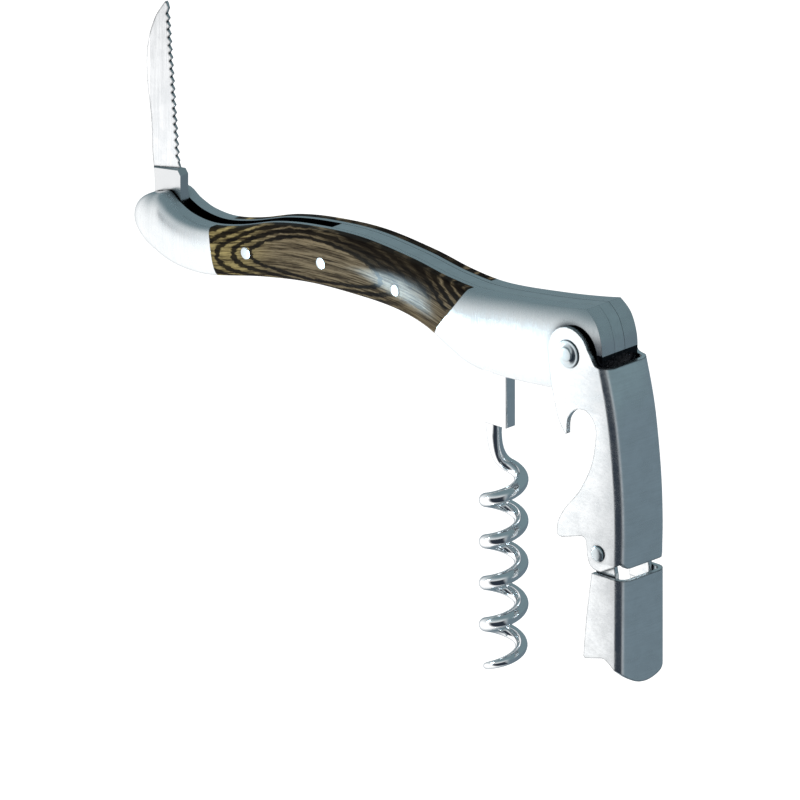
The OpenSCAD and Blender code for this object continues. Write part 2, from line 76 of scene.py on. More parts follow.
# Handle
GRIP_L, GRIP_W, NOSE_W, TAIL_W, EDGE_W = 60.0, 11.0, 11.6, 9.8, 7.6
SLOT_W, LINER_T = 2.8, 1.0
HALF_SLOT = SLOT_W / 2
LINER_Y = HALF_SLOT + LINER_T
GRIP_TAIL_X = -34.0
GRIP_NOSE_X = GRIP_TAIL_X - GRIP_L
NOSE_TIP_X, NOSE_TIP_Z, NOSE_ROUND = GRIP_NOSE_X - 21.4, -1.9, 6.0
# Knife
KNIFE_X, KNIFE_Z = GRIP_NOSE_X - 13.7, 0.5
BLADE_L, BLADE_W, HEEL_Z = 41.5, 6.0, 10.4
TANG_R, KNIFE_PIN_D, ARM_H, FOLD_GAP = 3.7, 3.0, 1.9, 0.4
# Worm, whose own places are measured from its hinge pin
WORM_X, WORM_Z = -RIVET[0], -RIVET[2]
HEAD_W, HEAD_T, HEAD_L, HEAD_R, WORM_PIN_D = 5.8, 2.56, 15.0, 3.0, 2.4
HEAD_LEFT = -4.0
SHANK, COIL_TOP, COIL_FROM = np.array([-2.5, 0.0, -13.5]), -24.2, 115.0
# Levers
LEVER_L, SHEET_T, BEND_R, EAR_R = 39.0, 1.0, 2.5, 5.2
RIVET_D, RIVET_HEAD_D, STEP_RIVET_D, FOOT_L = 3.8, 5.4, 2.0, 21.8
LEVER_IN = TAIL_W / 2 + 0.28
LEVER_OUT = LEVER_IN + SHEET_T
STEP_X = 7.7
STEP_Z = -math.sqrt(LEVER_L ** 2 - STEP_X ** 2)
FOOT_Z = STEP_Z - FOOT_L


# ---- Lines and outlines --------------------------------------------------------------------

def curve(points, steps):
    """A smooth line through points: on each span a cubic whose slope at a point is half the
    way between that point's neighbours."""
    p = np.array(points, float)
    q = np.vstack([p[:1], p, p[-1:]])
    t = np.arange(steps)[:, None] / steps
    spans = [
        b + (c - a) * t / 2 + (2 * a - 5 * b + 4 * c - d) * t ** 2 / 2
        + (3 * b - a - 3 * c + d) * t ** 3 / 2
        for a, b, c, d in zip(q[:-3], q[1:-2], q[2:-1], q[3:])]
    return np.vstack(spans + [p[-1:]])


def value(rows, x):
    """The value at each x of a smooth line through rows of (x, value): a cubic on each span
    whose slopes are those from one neighbouring row to the next."""
    r = np.array(rows, float)
    last = len(r) - 1
    i = np.arange(len(r))
    before, after = r[np.maximum(i - 1, 0)], r[np.minimum(i + 1, last)]
    slope = (after[:, 1] - before[:, 1]) / (after[:, 0] - before[:, 0])
    i = np.clip(np.searchsorted(r[:, 0], x, side="right") - 1, 0, last - 1)
    w = r[i + 1, 0] - r[i, 0]
    t = (x - r[i, 0]) / w
    return (r[i, 1] * (1 + 2 * t) * (1 - t) ** 2 + slope[i] * w * t * (1 - t) ** 2
            + r[i + 1, 1] * t ** 2 * (3 - 2 * t) - slope[i + 1] * w * t ** 2 * (1 - t))


def arc(centre, r, start, end, steps):
    """Points on a circle of radius r from one angle in degrees to another."""
    a = np.radians(np.linspace(start, end, steps + 1))
    return np.array(centre) + r * np.stack([np.cos(a), np.sin(a)], 1)


def path(*parts):
    """One outline from pieces of line laid end to end, without points that repeat."""
    p = np.vstack([np.array(part, float).reshape(-1, 2) for part in parts])
    keep = np.linalg.norm(p - np.roll(p, 1, axis=0), axis=1) > 1e-4
    return p[keep]


def nose(d):
    return GRIP_NOSE_X - d


def grip(f):
    return GRIP_NOSE_X + GRIP_L * f


TOP_ROWS = [
    (nose(22), 3.4), (nose(18), 3.9), (nose(15.5), 4.3), (nose(13), 4.9), (nose(10.6), 3.3),
    (nose(7), 1.85), (nose(1.5), 1.4), (grip(0.09), 2.75), (grip(0.25), 5.8), (grip(0.41), 7.5),
    (grip(0.62), 8.4), (grip(0.84), 7.4), (GRIP_TAIL_X, 5.95), (-25, 5.5), (-11, 7), (0, 8.7),
    (9, 10.6)]
BOTTOM_ROWS = [
    (nose(22), -4.2), (nose(16), -6.4), (nose(12), -7.9), (nose(6), -8.5), (nose(0), -8),
    (grip(0.22), -5.1), (grip(0.43), -3.2), (grip(0.65), -2.7), (grip(0.78), -2.9),
    (grip(0.87), -3.7), (-37.5, -5), (-32, -7.7), (-28, -9.3), (-23.5, -9.9), (-15, -9.6),
    (-6, -8.8), (0, -8.4), (9, -8.2)]
FLAT_ROWS = [
    (nose(22), 2.2), (nose(14), 2.5), (nose(8), 3.2), (nose(0), EDGE_W / 2), (-25, EDGE_W / 2),
    (9, EDGE_W / 2 + 0.9)]
FULL_ROWS = [
    (nose(22), NOSE_W / 2 - 0.7), (nose(12), NOSE_W / 2), (nose(0), (NOSE_W + GRIP_W) / 4),
    (grip(0.3), GRIP_W / 2), (grip(0.85), GRIP_W / 2), (-29, (GRIP_W + TAIL_W) / 4),
    (-18, TAIL_W / 2), (9, TAIL_W / 2)]
TAIL_END = [(3.4, 9.4), (6, 6.9), (7.4, 3), (7.5, -0.7), (6.8, -4.1), (4.8, -6.8), (2, -9)]
FLANK_POWER = 0.8           # below 1 the flank is fuller than an ellipse


def tip_share(x):
    """Share of the full section at x: a quarter of an ellipse over the rounded tip."""
    d = np.clip((NOSE_TIP_X + NOSE_ROUND - x) / NOSE_ROUND, 0, 1)
    return np.sqrt(1 - d ** 2)


def top_z(x):
    return NOSE_TIP_Z + (value(TOP_ROWS, x) - NOSE_TIP_Z) * tip_share(x)


def bottom_z(x):
    return NOSE_TIP_Z + (value(BOTTOM_ROWS, x) - NOSE_TIP_Z) * tip_share(x)


def flat_y(x):
    return HALF_SLOT + (value(FLAT_ROWS, x) - HALF_SLOT) * tip_share(x)


def full_y(x):
    return HALF_SLOT + (value(FULL_ROWS, x) - HALF_SLOT) * tip_share(x)


# ---- Meshes --------------------------------------------------------------------------------

def write_mesh(name, co, faces):
    """A mesh object from points in millimetres and faces as index lists."""
    mesh = bpy.data.meshes.new(name)
    mesh.from_pydata((np.asarray(co) * MM).tolist(), [], [list(map(int, f)) for f in faces])
    mesh.validate()
    mesh.shade_smooth()
    obj = bpy.data.objects.new(name, mesh)
    bpy.context.scene.collection.objects.link(obj)
    return obj


def grid_faces(n, m, wrap):
    """Quads of a grid of n rings of m points; wrap closes each ring on itself."""
    i, j = np.meshgrid(np.arange(n - 1), np.arange(m if wrap else m - 1), indexing="ij")
    k = (j + 1) % m
    return np.stack([i * m + j, (i + 1) * m + j, (i + 1) * m + k, i * m + k], -1).reshape(-1, 4)


def loft(name, rings):
    """A closed solid through rings of points: a grid of quads round the rings, and a flat face
    on the first and the last."""
    rings = np.asarray(rings, float)
    n, m = rings.shape[:2]
    faces = grid_faces(n, m, True).tolist()
    faces += [list(range(m)), list(range(n * m - 1, (n - 1) * m - 1, -1))]
    return write_mesh(name, rings.reshape(-1, 3), faces)


def prism(name, outline, low, high, axis="y"):
    """An outline carried along an axis from low to high. Along y the outline is (x, z), along
    x it is (y, z) and along z it is (x, y)."""
    p = np.asarray(outline, float)
    area = np.sum(p[:, 0] * np.roll(p[:, 1], -1) - p[:, 1] * np.roll(p[:, 0], -1))
    if (area > 0) != (axis == "y"):
        p = p[::-1]
    place = {"x": lambda h: [h, p[:, 0], p[:, 1]], "y": lambda h: [p[:, 0], h, p[:, 1]],
             "z": lambda h: [p[:, 0], p[:, 1], h]}[axis]
    rings = [np.stack(place(np.full(len(p), h)), 1) for h in (low, high)]
    return loft(name, rings)


def revolve(name, profile, centre, side, sides=64):
    """A profile of (radius, height) turned round an axis along y through centre (x, z). Both
    ends of the profile lie on the axis; height grows towards side (1 or -1)."""
    profile = np.asarray(profile, float)
    a = np.linspace(0, 2 * np.pi, sides, endpoint=False) * side
    r, h = profile[1:-1, 0, None], profile[1:-1, 1, None] + 0 * a
    rings = np.stack([centre[0] + r * np.sin(a), side * h, centre[1] + r * np.cos(a)], -1)
    n = len(rings)
    ends = [(centre[0], side * profile[e, 1], centre[1]) for e in (0, -1)]
    k = np.arange(sides)
    faces = grid_faces(n, sides, True)[:, ::-1].tolist()
    faces += np.stack([np.full(sides, n * sides), (k + 1) % sides, k], 1).tolist()
    last = (n - 1) * sides
    faces += np.stack([np.full(sides, n * sides + 1), last + k, last + (k + 1) % sides], 1).tolist()
    return write_mesh(name, np.vstack([rings.reshape(-1, 3), ends]), faces)


def settle(obj):
    """Applies obj's modifiers to its mesh."""
    bpy.context.view_layer.update()
    graph = bpy.context.evaluated_depsgraph_get()
    mesh = bpy.data.meshes.new_from_object(obj.evaluated_get(graph))
    old = obj.data
    obj.modifiers.clear()
    obj.data = mesh
    bpy.data.meshes.remove(old)
    return obj


def carve(obj, tool, operation):
    """obj changed by one solid: INTERSECT, DIFFERENCE or UNION. The tool is used up."""
    step = obj.modifiers.new("carve", "BOOLEAN")
    step.operation, step.solver, step.object = operation, "EXACT", tool
    settle(obj)
    bpy.data.objects.remove(tool)
    if not obj.data.polygons:
        raise RuntimeError(f"{obj.name}: nothing is left after {operation}")
    return obj


def drill(obj, x, z, d, sides=48):
    """A round bore through obj along y."""
    return carve(obj, rod("bore", x, z, d, -FAR, FAR, sides), "DIFFERENCE")


def soften(obj, width, segments=3, angle=32):
    """Rounds the edges sharper than an angle in degrees by width, as geometry."""
    step = obj.modifiers.new("edges", "BEVEL")
    step.width, step.segments = width * MM, segments
    step.limit_method, step.angle_limit = "ANGLE", math.radians(angle)
    step.miter_outer = "MITER_ARC"
    step.harden_normals = True
    obj.data.shade_smooth()
    return settle(obj)


def places(items, key):
    """What each of a mesh's points or faces holds under a key, as rows of x, y and z."""
    rows = np.empty(len(items) * 3, np.float32)
    items.foreach_get(key, rows)
    return rows.reshape(-1, 3)


def shift(obj, way):
    """Moves a mesh's points by way, in millimetres."""
    points = obj.data.vertices
    points.foreach_set("co", (places(points, "co") + np.asarray(way, np.float32) * MM).ravel())
    obj.data.update()
    return obj


def mirrored(obj, name):
    """A copy of obj on the other side of y = 0, turned right side out again."""
    twin = bpy.data.objects.new(name, obj.data.copy())
    bpy.context.scene.collection.objects.link(twin)
    points = twin.data.vertices
    points.foreach_set("co", (places(points, "co") * np.array([1, -1, 1], np.float32)).ravel())
    twin.data.flip_normals()
    twin.data.update()
    return twin


def placed(obj, look, body, slot, *nodes):
    """Moves a piece from the rivet's frame to the part's, gives it its finish by name and its
    body, and hides the nodes that it stands for. Its slot is not used."""
    shift(obj, RIVET)
    obj.data.materials.clear()
    obj.data.materials.append(finish_of(look))
    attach(obj, body)
    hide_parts(*nodes)
    return obj


# ---- Handle --------------------------------------------------------------------------------

def handle_side(name):
    """The back half's full form as rings along the handle: flat inside, flat edges, and a
    crowned flank whose width is a power of the sine of the way down it."""
    tip = NOSE_TIP_X + NOSE_ROUND * (1 - np.cos(np.radians(np.linspace(5, 90, 15))))
    x = np.concatenate([tip, np.linspace(NOSE_TIP_X + NOSE_ROUND, 9, 231)[1:]])[:, None]
    t, b, f, w = top_z(x), bottom_z(x), flat_y(x), full_y(x)
    a = np.pi * (1 - np.cos(np.linspace(0, np.pi, 33))) / 2
    y = f + (w - f) * np.sin(a) ** FLANK_POWER
    z = (t + b) / 2 + (t - b) / 2 * np.cos(a)
    inner = np.full_like(x, HALF_SLOT)
    rings = np.stack([
        np.broadcast_to(x, (len(x), a.size + 2)),
        np.hstack([inner, y, inner]), np.hstack([t, z, b])], -1)
    return loft(name, rings)


def tail_outline():
    """Side view outline that rounds the tail end, open towards the nose."""
    return path([(3.4, FAR)], curve(TAIL_END, 12), [(0, -FAR), (-3 * FAR, -FAR), (-3 * FAR, FAR)])


def scale_outline():
    """Side view outline of the wooden scale between its two seams."""
    nose_seam = [(GRIP_NOSE_X - 0.6, 2.4), (GRIP_NOSE_X + 1, -1.6), (GRIP_NOSE_X + 2.1, -8.8)]
    tail_seam = [(GRIP_TAIL_X - 2.9, -6.2), (GRIP_TAIL_X + 0.6, -1.9), (GRIP_TAIL_X + 3.8, 2.1),
                 (GRIP_TAIL_X + 7, 6.6)]
    return path([(GRIP_NOSE_X - 1, FAR)], curve(nose_seam, 16),
                [(GRIP_NOSE_X + 2.1, -FAR), (GRIP_TAIL_X - 2.9, -FAR)], curve(tail_seam, 12),
                [(GRIP_TAIL_X + 7, FAR)])


def rod(name, x, z, d, low, high, sides=48):
    """A round bar along y."""
    return prism(name, arc((x, z), d / 2, 0, 360, sides)[:-1], low, high)


def at_mid(x, drop):
    """A pin's place in the side view and the handle's half width there."""
    at = np.array([x])
    return x, float((top_z(at) + bottom_z(at))[0] / 2 - drop), float(full_y(at)[0])


PIN_PLACES = {"nose": at_mid(grip(0.167), 0.1), "middle": at_mid(grip(0.49), 0.6),
              "spring": at_mid(grip(0.81), 1)}
EAR_POCKET, EAR_POCKET_Y, BOSS_R = (1.0, 0.3), TAIL_W / 2 - 1.6, 3.4


def two_ended(end):
    """A revolved bar's whole line from one end's: its mirror image below, then itself."""
    return np.vstack([end[::-1] * [1, -1], end])


def spring_outline():
    """Side view outline of the spring: the handle's outline less the rooms of the folding
    knife and worm, with a thin arm along the bottom of the knife's room."""
    end_x = KNIFE_X + BLADE_L + 2 * FOLD_GAP
    arm = np.linspace(KNIFE_X + 4, end_x - 3, 60)
    tail = curve(TAIL_END, 12)
    keep = tail[(tail[:, 1] < top_z(tail[:, 0])) & (tail[:, 1] > bottom_z(tail[:, 0]))]
    top = np.linspace(keep[0, 0] - 0.1, end_x, 160)
    room = arc((WORM_X, WORM_Z), -HEAD_LEFT + FOLD_GAP, 90, 0, 14)
    head_right = WORM_X + HEAD_LEFT + HEAD_W + FOLD_GAP
    coil_room = WORM_X - HEAD_L - 6
    room = room[room[:, 0] < head_right]
    low_end = bottom_z(np.array([head_right]))[0]
    bottom = np.linspace(keep[-1, 0] - 0.1, head_right, 60)
    under = np.linspace(coil_room, KNIFE_X - 3, 160)
    return path(
        np.stack([top, top_z(top)], 1),
        [(end_x, KNIFE_Z - edge_x(BLADE_L) - 1.8 * FOLD_GAP)],
        np.stack([arm[::-1], bottom_z(arm[::-1]) + ARM_H], 1),
        [(KNIFE_X, KNIFE_Z - TANG_R - FOLD_GAP), (KNIFE_X - 3, KNIFE_Z - TANG_R - FOLD_GAP)],
        np.stack([under[::-1], bottom_z(under[::-1])], 1),
        [(coil_room, WORM_Z - HEAD_LEFT - FOLD_GAP), (WORM_X - 3, WORM_Z - HEAD_LEFT + FOLD_GAP)],
        room, [(head_right, WORM_Z), (head_right, low_end)],
        np.stack([bottom[::-1], bottom_z(bottom[::-1])], 1),
        keep[::-1])


# ---- Knife ---------------------------------------------------------------------------------

def edge_x(d):
    """Where the knife's edge line lies: it leans towards the spine beyond the heel."""
    return 1.7 - 2.8 * np.maximum(d - HEEL_Z, 0) / (BLADE_L - HEEL_Z)


def blade_outline(pitch, depth):
    """Outline of the knife standing up from its pin, with a saw of pointed teeth whose roots
    lie half way between the points."""
    spine = [
        (-TANG_R, 0.5), (-3.8, 6), (-4.4, 11), (edge_x(18) - BLADE_W + 0.3, 18),
        (edge_x(25) - BLADE_W, 25), (edge_x(31) - BLADE_W + 0.5, BLADE_L - 10),
        (edge_x(BLADE_L) - 2.9, BLADE_L - 3.8), (edge_x(BLADE_L) - 0.7, BLADE_L)]
    end = BLADE_L - 1.2
    point = HEEL_Z + np.arange(int((end - HEEL_Z) // pitch) - 1, -1, -1) * pitch
    root = point + pitch / 2
    saw = np.stack([edge_x(root) - depth, root, edge_x(point), point], 1)
    heel = [(1.5, HEEL_Z - 0.4), (2, 9), (2.9, 7.8), (2.9, 5), (3.1, 2), (2.9, 0)]
    return path(curve(spine, 10), [(edge_x(end) - 0.4, BLADE_L - 0.3), (edge_x(end), end)], saw,
                heel, arc((0, 0), TANG_R, -30, -180, 30))


GRIND_X, GRIND_DEPTH, GRIND_SLANT, RICASSO_Z = -BLADE_W * 0.82, 0.88, 0.144, 7.9
GRIND_ROWS = ((7.7, 0), (7.87, 0.5), (8.05, 1), (BLADE_L + 2, 1))


def grind_wedge(side, blade_t):
    """What the grind takes from one side of the blade: a wedge from a line near the spine to
    its full depth at the edge. It starts a hair inside the face and runs out at the ricasso
    along a line that slants across the blade; its rows are (height, share of the depth)."""
    face, beyond = blade_t / 2 - 0.003, 4.3
    rings = []
    for z, share in GRIND_ROWS:
        deep = face - GRIND_DEPTH * share
        plan = np.array([(beyond, deep), (edge_x(z) + 0.2, deep), (GRIND_X, face),
                         (GRIND_X, blade_t), (beyond, blade_t)]) * [1, side]
        slant = GRIND_SLANT * (plan[:, 0] - GRIND_X) * (z < BLADE_L)
        rings.append(np.column_stack([plan, z + slant])[::side])
    return loft("wedge", rings)


def on_ricasso(x, y, z):
    """What lies between the handle and the line at which the grind runs out."""
    return z < RICASSO_Z + GRIND_SLANT * (x - GRIND_X)


# ---- Worm ----------------------------------------------------------------------------------

def worm_wire(name, coil, wire, pitch, count):
    """A wire along the shoulder and the coil, from the coil's outer diameter, the wire's, the
    height of a turn and their count. The coil's centre line is a helix about z that turns back
    as it goes down, and the shoulder's is a cubic that leads into it from the head. The rings
    stand square to that line, and their radius falls with the square root of what is left over
    the last stretch to the point. The section is a superellipse that turns from a rounded
    square at the head, wider and a little flatter, to a circle."""
    per_turn, steps, sides, taper, lead = 96, 40, 40, 18 / 22, 3.85
    radius = (coil - wire) / 2
    start = np.radians(COIL_FROM)
    way = np.array([2 * np.pi * radius * np.sin(start), -2 * np.pi * radius * np.cos(start),
                    -pitch])
    turns = np.arange(round(count * per_turn) + 1) / per_turn
    a = np.radians(COIL_FROM - 360 * turns)
    helix = np.stack([radius * np.cos(a), radius * np.sin(a), COIL_TOP - pitch * turns], -1)
    t = np.linspace(0, 1, steps, endpoint=False)[:, None]
    shoulder = (SHANK * (1 + 2 * t) * (1 - t) ** 2 + np.array([0, 0, -11.0]) * t * (1 - t) ** 2
                + helix[0] * t ** 2 * (3 - 2 * t) - way / pitch * lead * t ** 2 * (1 - t))
    line = np.vstack([shoulder, helix])
    along = np.gradient(line, axis=0)
    along /= np.linalg.norm(along, axis=1, keepdims=True)
    across = np.cross(along, [0, 1, 0.001])
    across /= np.linalg.norm(across, axis=1, keepdims=True)
    up = np.cross(across, along)
    i = np.arange(len(line))
    left = np.clip((len(line) - 1 - i) / (taper * per_turn), 0, 1)
    r = wire / 2 * (0.05 + 0.95 * np.sqrt(left))
    head = np.maximum(0, 1 - i / steps)[:, None]
    power = 1 - 0.45 * np.clip(4 * head - 2.9, 0, 1)
    wide, flat = 1 + 0.32 * head, 1 - 0.12 * np.clip(2 * head - 0.4, 0, 1)
    b = np.linspace(0, 2 * np.pi, sides, endpoint=False)

    def square(v):
        return np.sign(v) * np.abs(v) ** power

    rings = line[:, None] + r[:, None, None] * (
        across[:, None] * (square(np.cos(b)) * wide)[..., None]
        - up[:, None] * (square(np.sin(b)) * flat)[..., None])
    return loft(name, rings)


def worm_head(name):
    """The worm's flat head: a bar rounded over its hinge and narrowed at its lower end."""
    right = HEAD_LEFT + HEAD_W
    outline = path(
        arc((0, 0), HEAD_R, 20, 160, 24),
        [(HEAD_LEFT, -HEAD_R), (HEAD_LEFT, -HEAD_L + 1.5), (SHANK[0] - 1.3, -HEAD_L),
         (right, -HEAD_L), (right, -HEAD_R)])
    return prism(name, outline, -HEAD_T / 2, HEAD_T / 2)


# ---- Levers --------------------------------------------------------------------------------

WEB_ROWS = [
    (STEP_Z - 4, 14.1), (STEP_Z, 14.2), (STEP_Z * 0.86, 14.3), (STEP_Z * 0.65, 14), (-16, 13.1),
    (-9, 12), (-1, 10), (7, 7.6)]
OPEN_X = -12.0


def corner(x, side, r, steps=10):
    """A quarter circle of radius r round a bend's centre, seen along the lever."""
    a = np.radians(90 * (np.linspace(0, 1, steps + 1) + min(side, 0)))
    return np.stack([x - BEND_R + r * np.cos(a), side * (LEVER_OUT - BEND_R) + r * np.sin(a)], 1)


def channel_plan(x):
    """A U of bent sheet seen along the lever, open towards -x, its web's outer face at x."""
    inner = BEND_R - SHEET_T
    return np.vstack([
        [(OPEN_X, -LEVER_OUT)], corner(x, -1, BEND_R), corner(x, 1, BEND_R),
        [(OPEN_X, LEVER_OUT), (OPEN_X, LEVER_IN)], corner(x, 1, inner)[::-1],
        corner(x, -1, inner)[::-1], [(OPEN_X, -LEVER_IN)]])


def bent_channel(name):
    """The U carried down the lever, its web's place given by the rows at each height."""
    z = np.linspace(7, STEP_Z - 4, 120)
    plans = [channel_plan(x) for x in value(WEB_ROWS, z)]
    rings = [np.column_stack([plan, np.full(len(plan), h)]) for plan, h in zip(plans, z)]
    return loft(name, np.array(rings)[:, ::-1])


def low(x, z):
    return (STEP_X + x, STEP_Z + z)


def upper_outline():
    """Side view outline of the upper lever: ear, round end with the step rivets, first step,
    belly, hollow for a crown cap's rim, and the hook that lifts it."""
    end = math.radians(22)
    return path(
        arc((0, 0), EAR_R, 180, 22, 40),
        curve([(EAR_R * math.cos(end), EAR_R * math.sin(end)), (5.9, 0.4), (6.7, -0.8),
               (7.8, -1.1)], 8),
        [(FAR, -1.1), (FAR, STEP_Z - 0.4)],
        curve([low(5.9, -0.4), low(4.6, -1.5), low(2.6, -2.5), low(0.4, -3.5), low(-1.8, -3.1),
               low(-2.7, -1.4), low(-3, 0.8), low(-3.3, 2.1), low(-4.2, 2.5)], 8),
        curve([low(-9.2, 1.1), low(-10.3, 1.2), low(-10.6, 2.1), low(-10.3, 4.2),
               low(-8.5, 7.2), low(-4.9, 11.4), low(-2, 16.7), (6.9, -16.6), (6.9, -12.9),
               (4.8, -10.5), (1.9, -10.8), (-0.1, -13), (-0.4, -16.1)], 10),
        curve([(-0.4, -16.1), (-1, -16), (-2.7, -13.3), (-4.1, -8.2), (-4.8, -4.2),
               (-EAR_R, 0)], 8))


def web_end_outline():
    """Front view outline of the web where it reaches below the flanges, corners bevelled."""
    z, bevel = STEP_Z - 1.9, 1.4
    return [(-LEVER_OUT, z + 9), (-LEVER_OUT, z + 1.8), (-LEVER_OUT + bevel, z),
            (LEVER_OUT - bevel, z), (LEVER_OUT, z + 1.8), (LEVER_OUT, z + 9)]


def cap(r, low, high):
    """(radius, height) line of a low dome: a quarter of an ellipse up to the axis."""
    a = np.linspace(0, np.pi / 2, 12)
    line = np.stack([r * np.cos(a), low + (high - low) * np.sin(a)], 1)
    line[-1, 0] = 0
    return line


def rivet_profile(d, h, middle):
    """A rivet head's (radius, height) line: a rounded rim that covers 0.7 of its height, then
    what is in the middle."""
    rim = arc((d / 2 - h * 0.7, h * 0.3), h * 0.7, 0, 90, 8)
    return np.vstack([[(d / 2, 0)], rim, middle])


def dimpled_end():
    """(radius, height) line of the lever rivet's end over the lever: its shaft, the rim of its
    head, a dome that sinks round the middle, and the low crown there."""
    a = np.radians(np.linspace(0, 90, 12))
    dome = np.stack([1.3 + 0.9 * (1 - np.sin(a) ** 1.5), 0.25 + 0.4 * (1 - np.cos(a) ** 1.2)], 1)
    crown = np.stack([1.3 * np.cos(a[1:]), 0.65 + 0.05 * np.sin(a[1:])], 1)
    head = rivet_profile(RIVET_HEAD_D, 0.25, np.vstack([dome, crown]))
    return np.vstack([[(RIVET_D / 2, 0)], head]) + [0, LEVER_OUT + 0.05]


def step_rivet_line():
    """(radius, height) line of a step rivet: a shaft through both sheets and a domed head."""
    r, start = STEP_RIVET_D / 2, TAB_IN - LEVER_OUT
    head = rivet_profile(STEP_RIVET_D + 1.1, 0.5, cap(1.2, 0.5, 0.62))
    return np.vstack([[(0, start), (r, start), (r, 0)], head]) + [0, LEVER_OUT]


LOWER_TOP = STEP_Z - 4.3
LOWER_WEB_X = 14.3
TAB_OUT = LEVER_IN - 0.1
TAB_IN = TAB_OUT - SHEET_T


def lower_outline():
    """Side view outline of the lower lever, whose web tapers and curls in to the foot."""
    return path(
        [(6, LOWER_TOP), (FAR, LOWER_TOP), (FAR, FOOT_Z - 5), (13.1, FOOT_Z - 5)],
        curve([(13.1, FOOT_Z - 5), (12.9, FOOT_Z - 2.2), (11.9, FOOT_Z - 0.9),
               (10.6, FOOT_Z + 0.2), (9.4, FOOT_Z + 0.9), (8.6, FOOT_Z + 1)], 8),
        curve([(4.4, FOOT_Z), (3.95, FOOT_Z + 0.3), (3.95, FOOT_Z + 1)], 6),
        curve([(3.95, FOOT_Z + 1), (4.7, (LOWER_TOP + FOOT_Z) / 2), (6, LOWER_TOP)], 12))


def tongue_outline():
    """Front view outline of the web, which ends in a round tongue below the foot."""
    r, z = 8.0, FOOT_Z - 3.6
    return path([(-r, z + FAR)], arc((0, z + r), r, 180, 360, 60), [(r, z + FAR)])


def lever_tab(name):
    """A tab up round the step rivet, inside the upper flange, which steps out to lie against
    the inside of the lower flange."""
    left, right, r = STEP_X - 1.5, STEP_X + 3.5, 2.6
    up = path(arc((STEP_X, STEP_Z), r, 0, 180, 24), [
        (left, LOWER_TOP), (left, LOWER_TOP - 3), (right, LOWER_TOP - 3), (right, LOWER_TOP)])
    foot = [(left, LOWER_TOP - 0.5), (right, LOWER_TOP - 0.5), (right, LOWER_TOP - 3),
            (left, LOWER_TOP - 3)]
    tab = prism(name, up, TAB_IN, TAB_OUT)
    return carve(tab, prism("lap", foot, TAB_IN, LEVER_IN + SHEET_T / 2), "UNION")


# ---- Node groups and finishes --------------------------------------------------------------

def rgba(colour):
    return (*colour[:3], 1.0)


class Net:
    """Adds nodes to a tree and joins their sockets."""

    def __init__(self, tree):
        self.tree = tree
        self.column = 0

    def add(self, kind, inputs=(), **settings):
        """A node of a kind, with its own settings, whose inputs are given by name or number:
        a socket is joined and anything else is set."""
        node = self.tree.nodes.new(kind)
        self.column += 1
        node.location = (200 * (self.column % 9), -260 * (self.column // 9))
        for key, setting in settings.items():
            setattr(node, key, setting)
        for key, given in dict(inputs).items():
            if isinstance(given, bpy.types.NodeSocket):
                self.tree.links.new(given, node.inputs[key])
            else:
                node.inputs[key].default_value = given
        return node

    def math(self, operation, *given, clamp=False):
        return self.add("ShaderNodeMath", enumerate(given), operation=operation,
                        use_clamp=clamp).outputs[0]

    def times(self, *given):
        """The product of two or more values."""
        return reduce(lambda a, b: self.math("MULTIPLY", a, b), given)

    def plus(self, *given):
        """The sum of two or more values."""
        return reduce(lambda a, b: self.math("ADD", a, b), given)

    def minus(self, a, b):
        return self.math("SUBTRACT", a, b)

    def size_of(self, given):
        """A value without its sign."""
        return self.math("ABSOLUTE", given)

    def vector(self, operation, *given):
        """What a vector operation gives: a value for a dot product, and otherwise a vector."""
        node = self.add("ShaderNodeVectorMath", enumerate(given), operation=operation)
        return node.outputs[1 if operation == "DOT_PRODUCT" else 0]

    def split(self, vector):
        """A vector's x, y and z."""
        return self.add("ShaderNodeSeparateXYZ", {0: vector}).outputs

    def true_normal(self):
        return self.add("ShaderNodeNewGeometry").outputs["Normal"]

    def noise(self, vector, scale, detail=3.0, rough=0.5):
        return self.add("ShaderNodeTexNoise", {
            "Vector": vector, "Scale": scale, "Detail": detail, "Roughness": rough}).outputs["Fac"]

    def stretched_noise(self, vector, scale, detail=3.0, rough=0.5):
        """Noise whose scale differs along x, y and z."""
        return self.noise(self.vector("MULTIPLY", vector, scale), 1.0, detail, rough)

    def span(self, given, low, high, to_low=0.0, to_high=1.0):
        """given read from low to high as a smooth step from to_low to to_high."""
        return self.add("ShaderNodeMapRange", {
            "Value": given, "From Min": low, "From Max": high, "To Min": to_low,
            "To Max": to_high}, interpolation_type="SMOOTHSTEP").outputs[0]

    def mix(self, share, a, b):
        """A colour that goes from a to b as its share goes from 0 to 1."""
        return self.add("ShaderNodeMix", {0: share, 6: a, 7: b}, data_type="RGBA").outputs[2]

    def attribute(self, name, output="Fac"):
        return self.add("ShaderNodeAttribute", attribute_name=name).outputs[output]

    def group(self, name, build, inputs):
        """The outputs of a shared node group, which is built the first time it is placed."""
        tree = bpy.data.node_groups.get(name) or build(name)
        return self.add("ShaderNodeGroup", inputs, node_tree=tree).outputs

    def join(self, given, socket):
        self.tree.links.new(given, socket)


def new_group(name, inputs, outputs):
    """A shader node group with named sockets: its net, start and end."""
    tree = bpy.data.node_groups.new(name, "ShaderNodeTree")
    for title, kind, default in inputs:
        socket = tree.interface.new_socket(name=title, in_out="INPUT", socket_type=kind)
        if default is not None:
            socket.default_value = default
    for title, kind in outputs:
        tree.interface.new_socket(name=title, in_out="OUTPUT", socket_type=kind)
    net = Net(tree)
    return net, net.add("NodeGroupInput").outputs, net.add("NodeGroupOutput").inputs


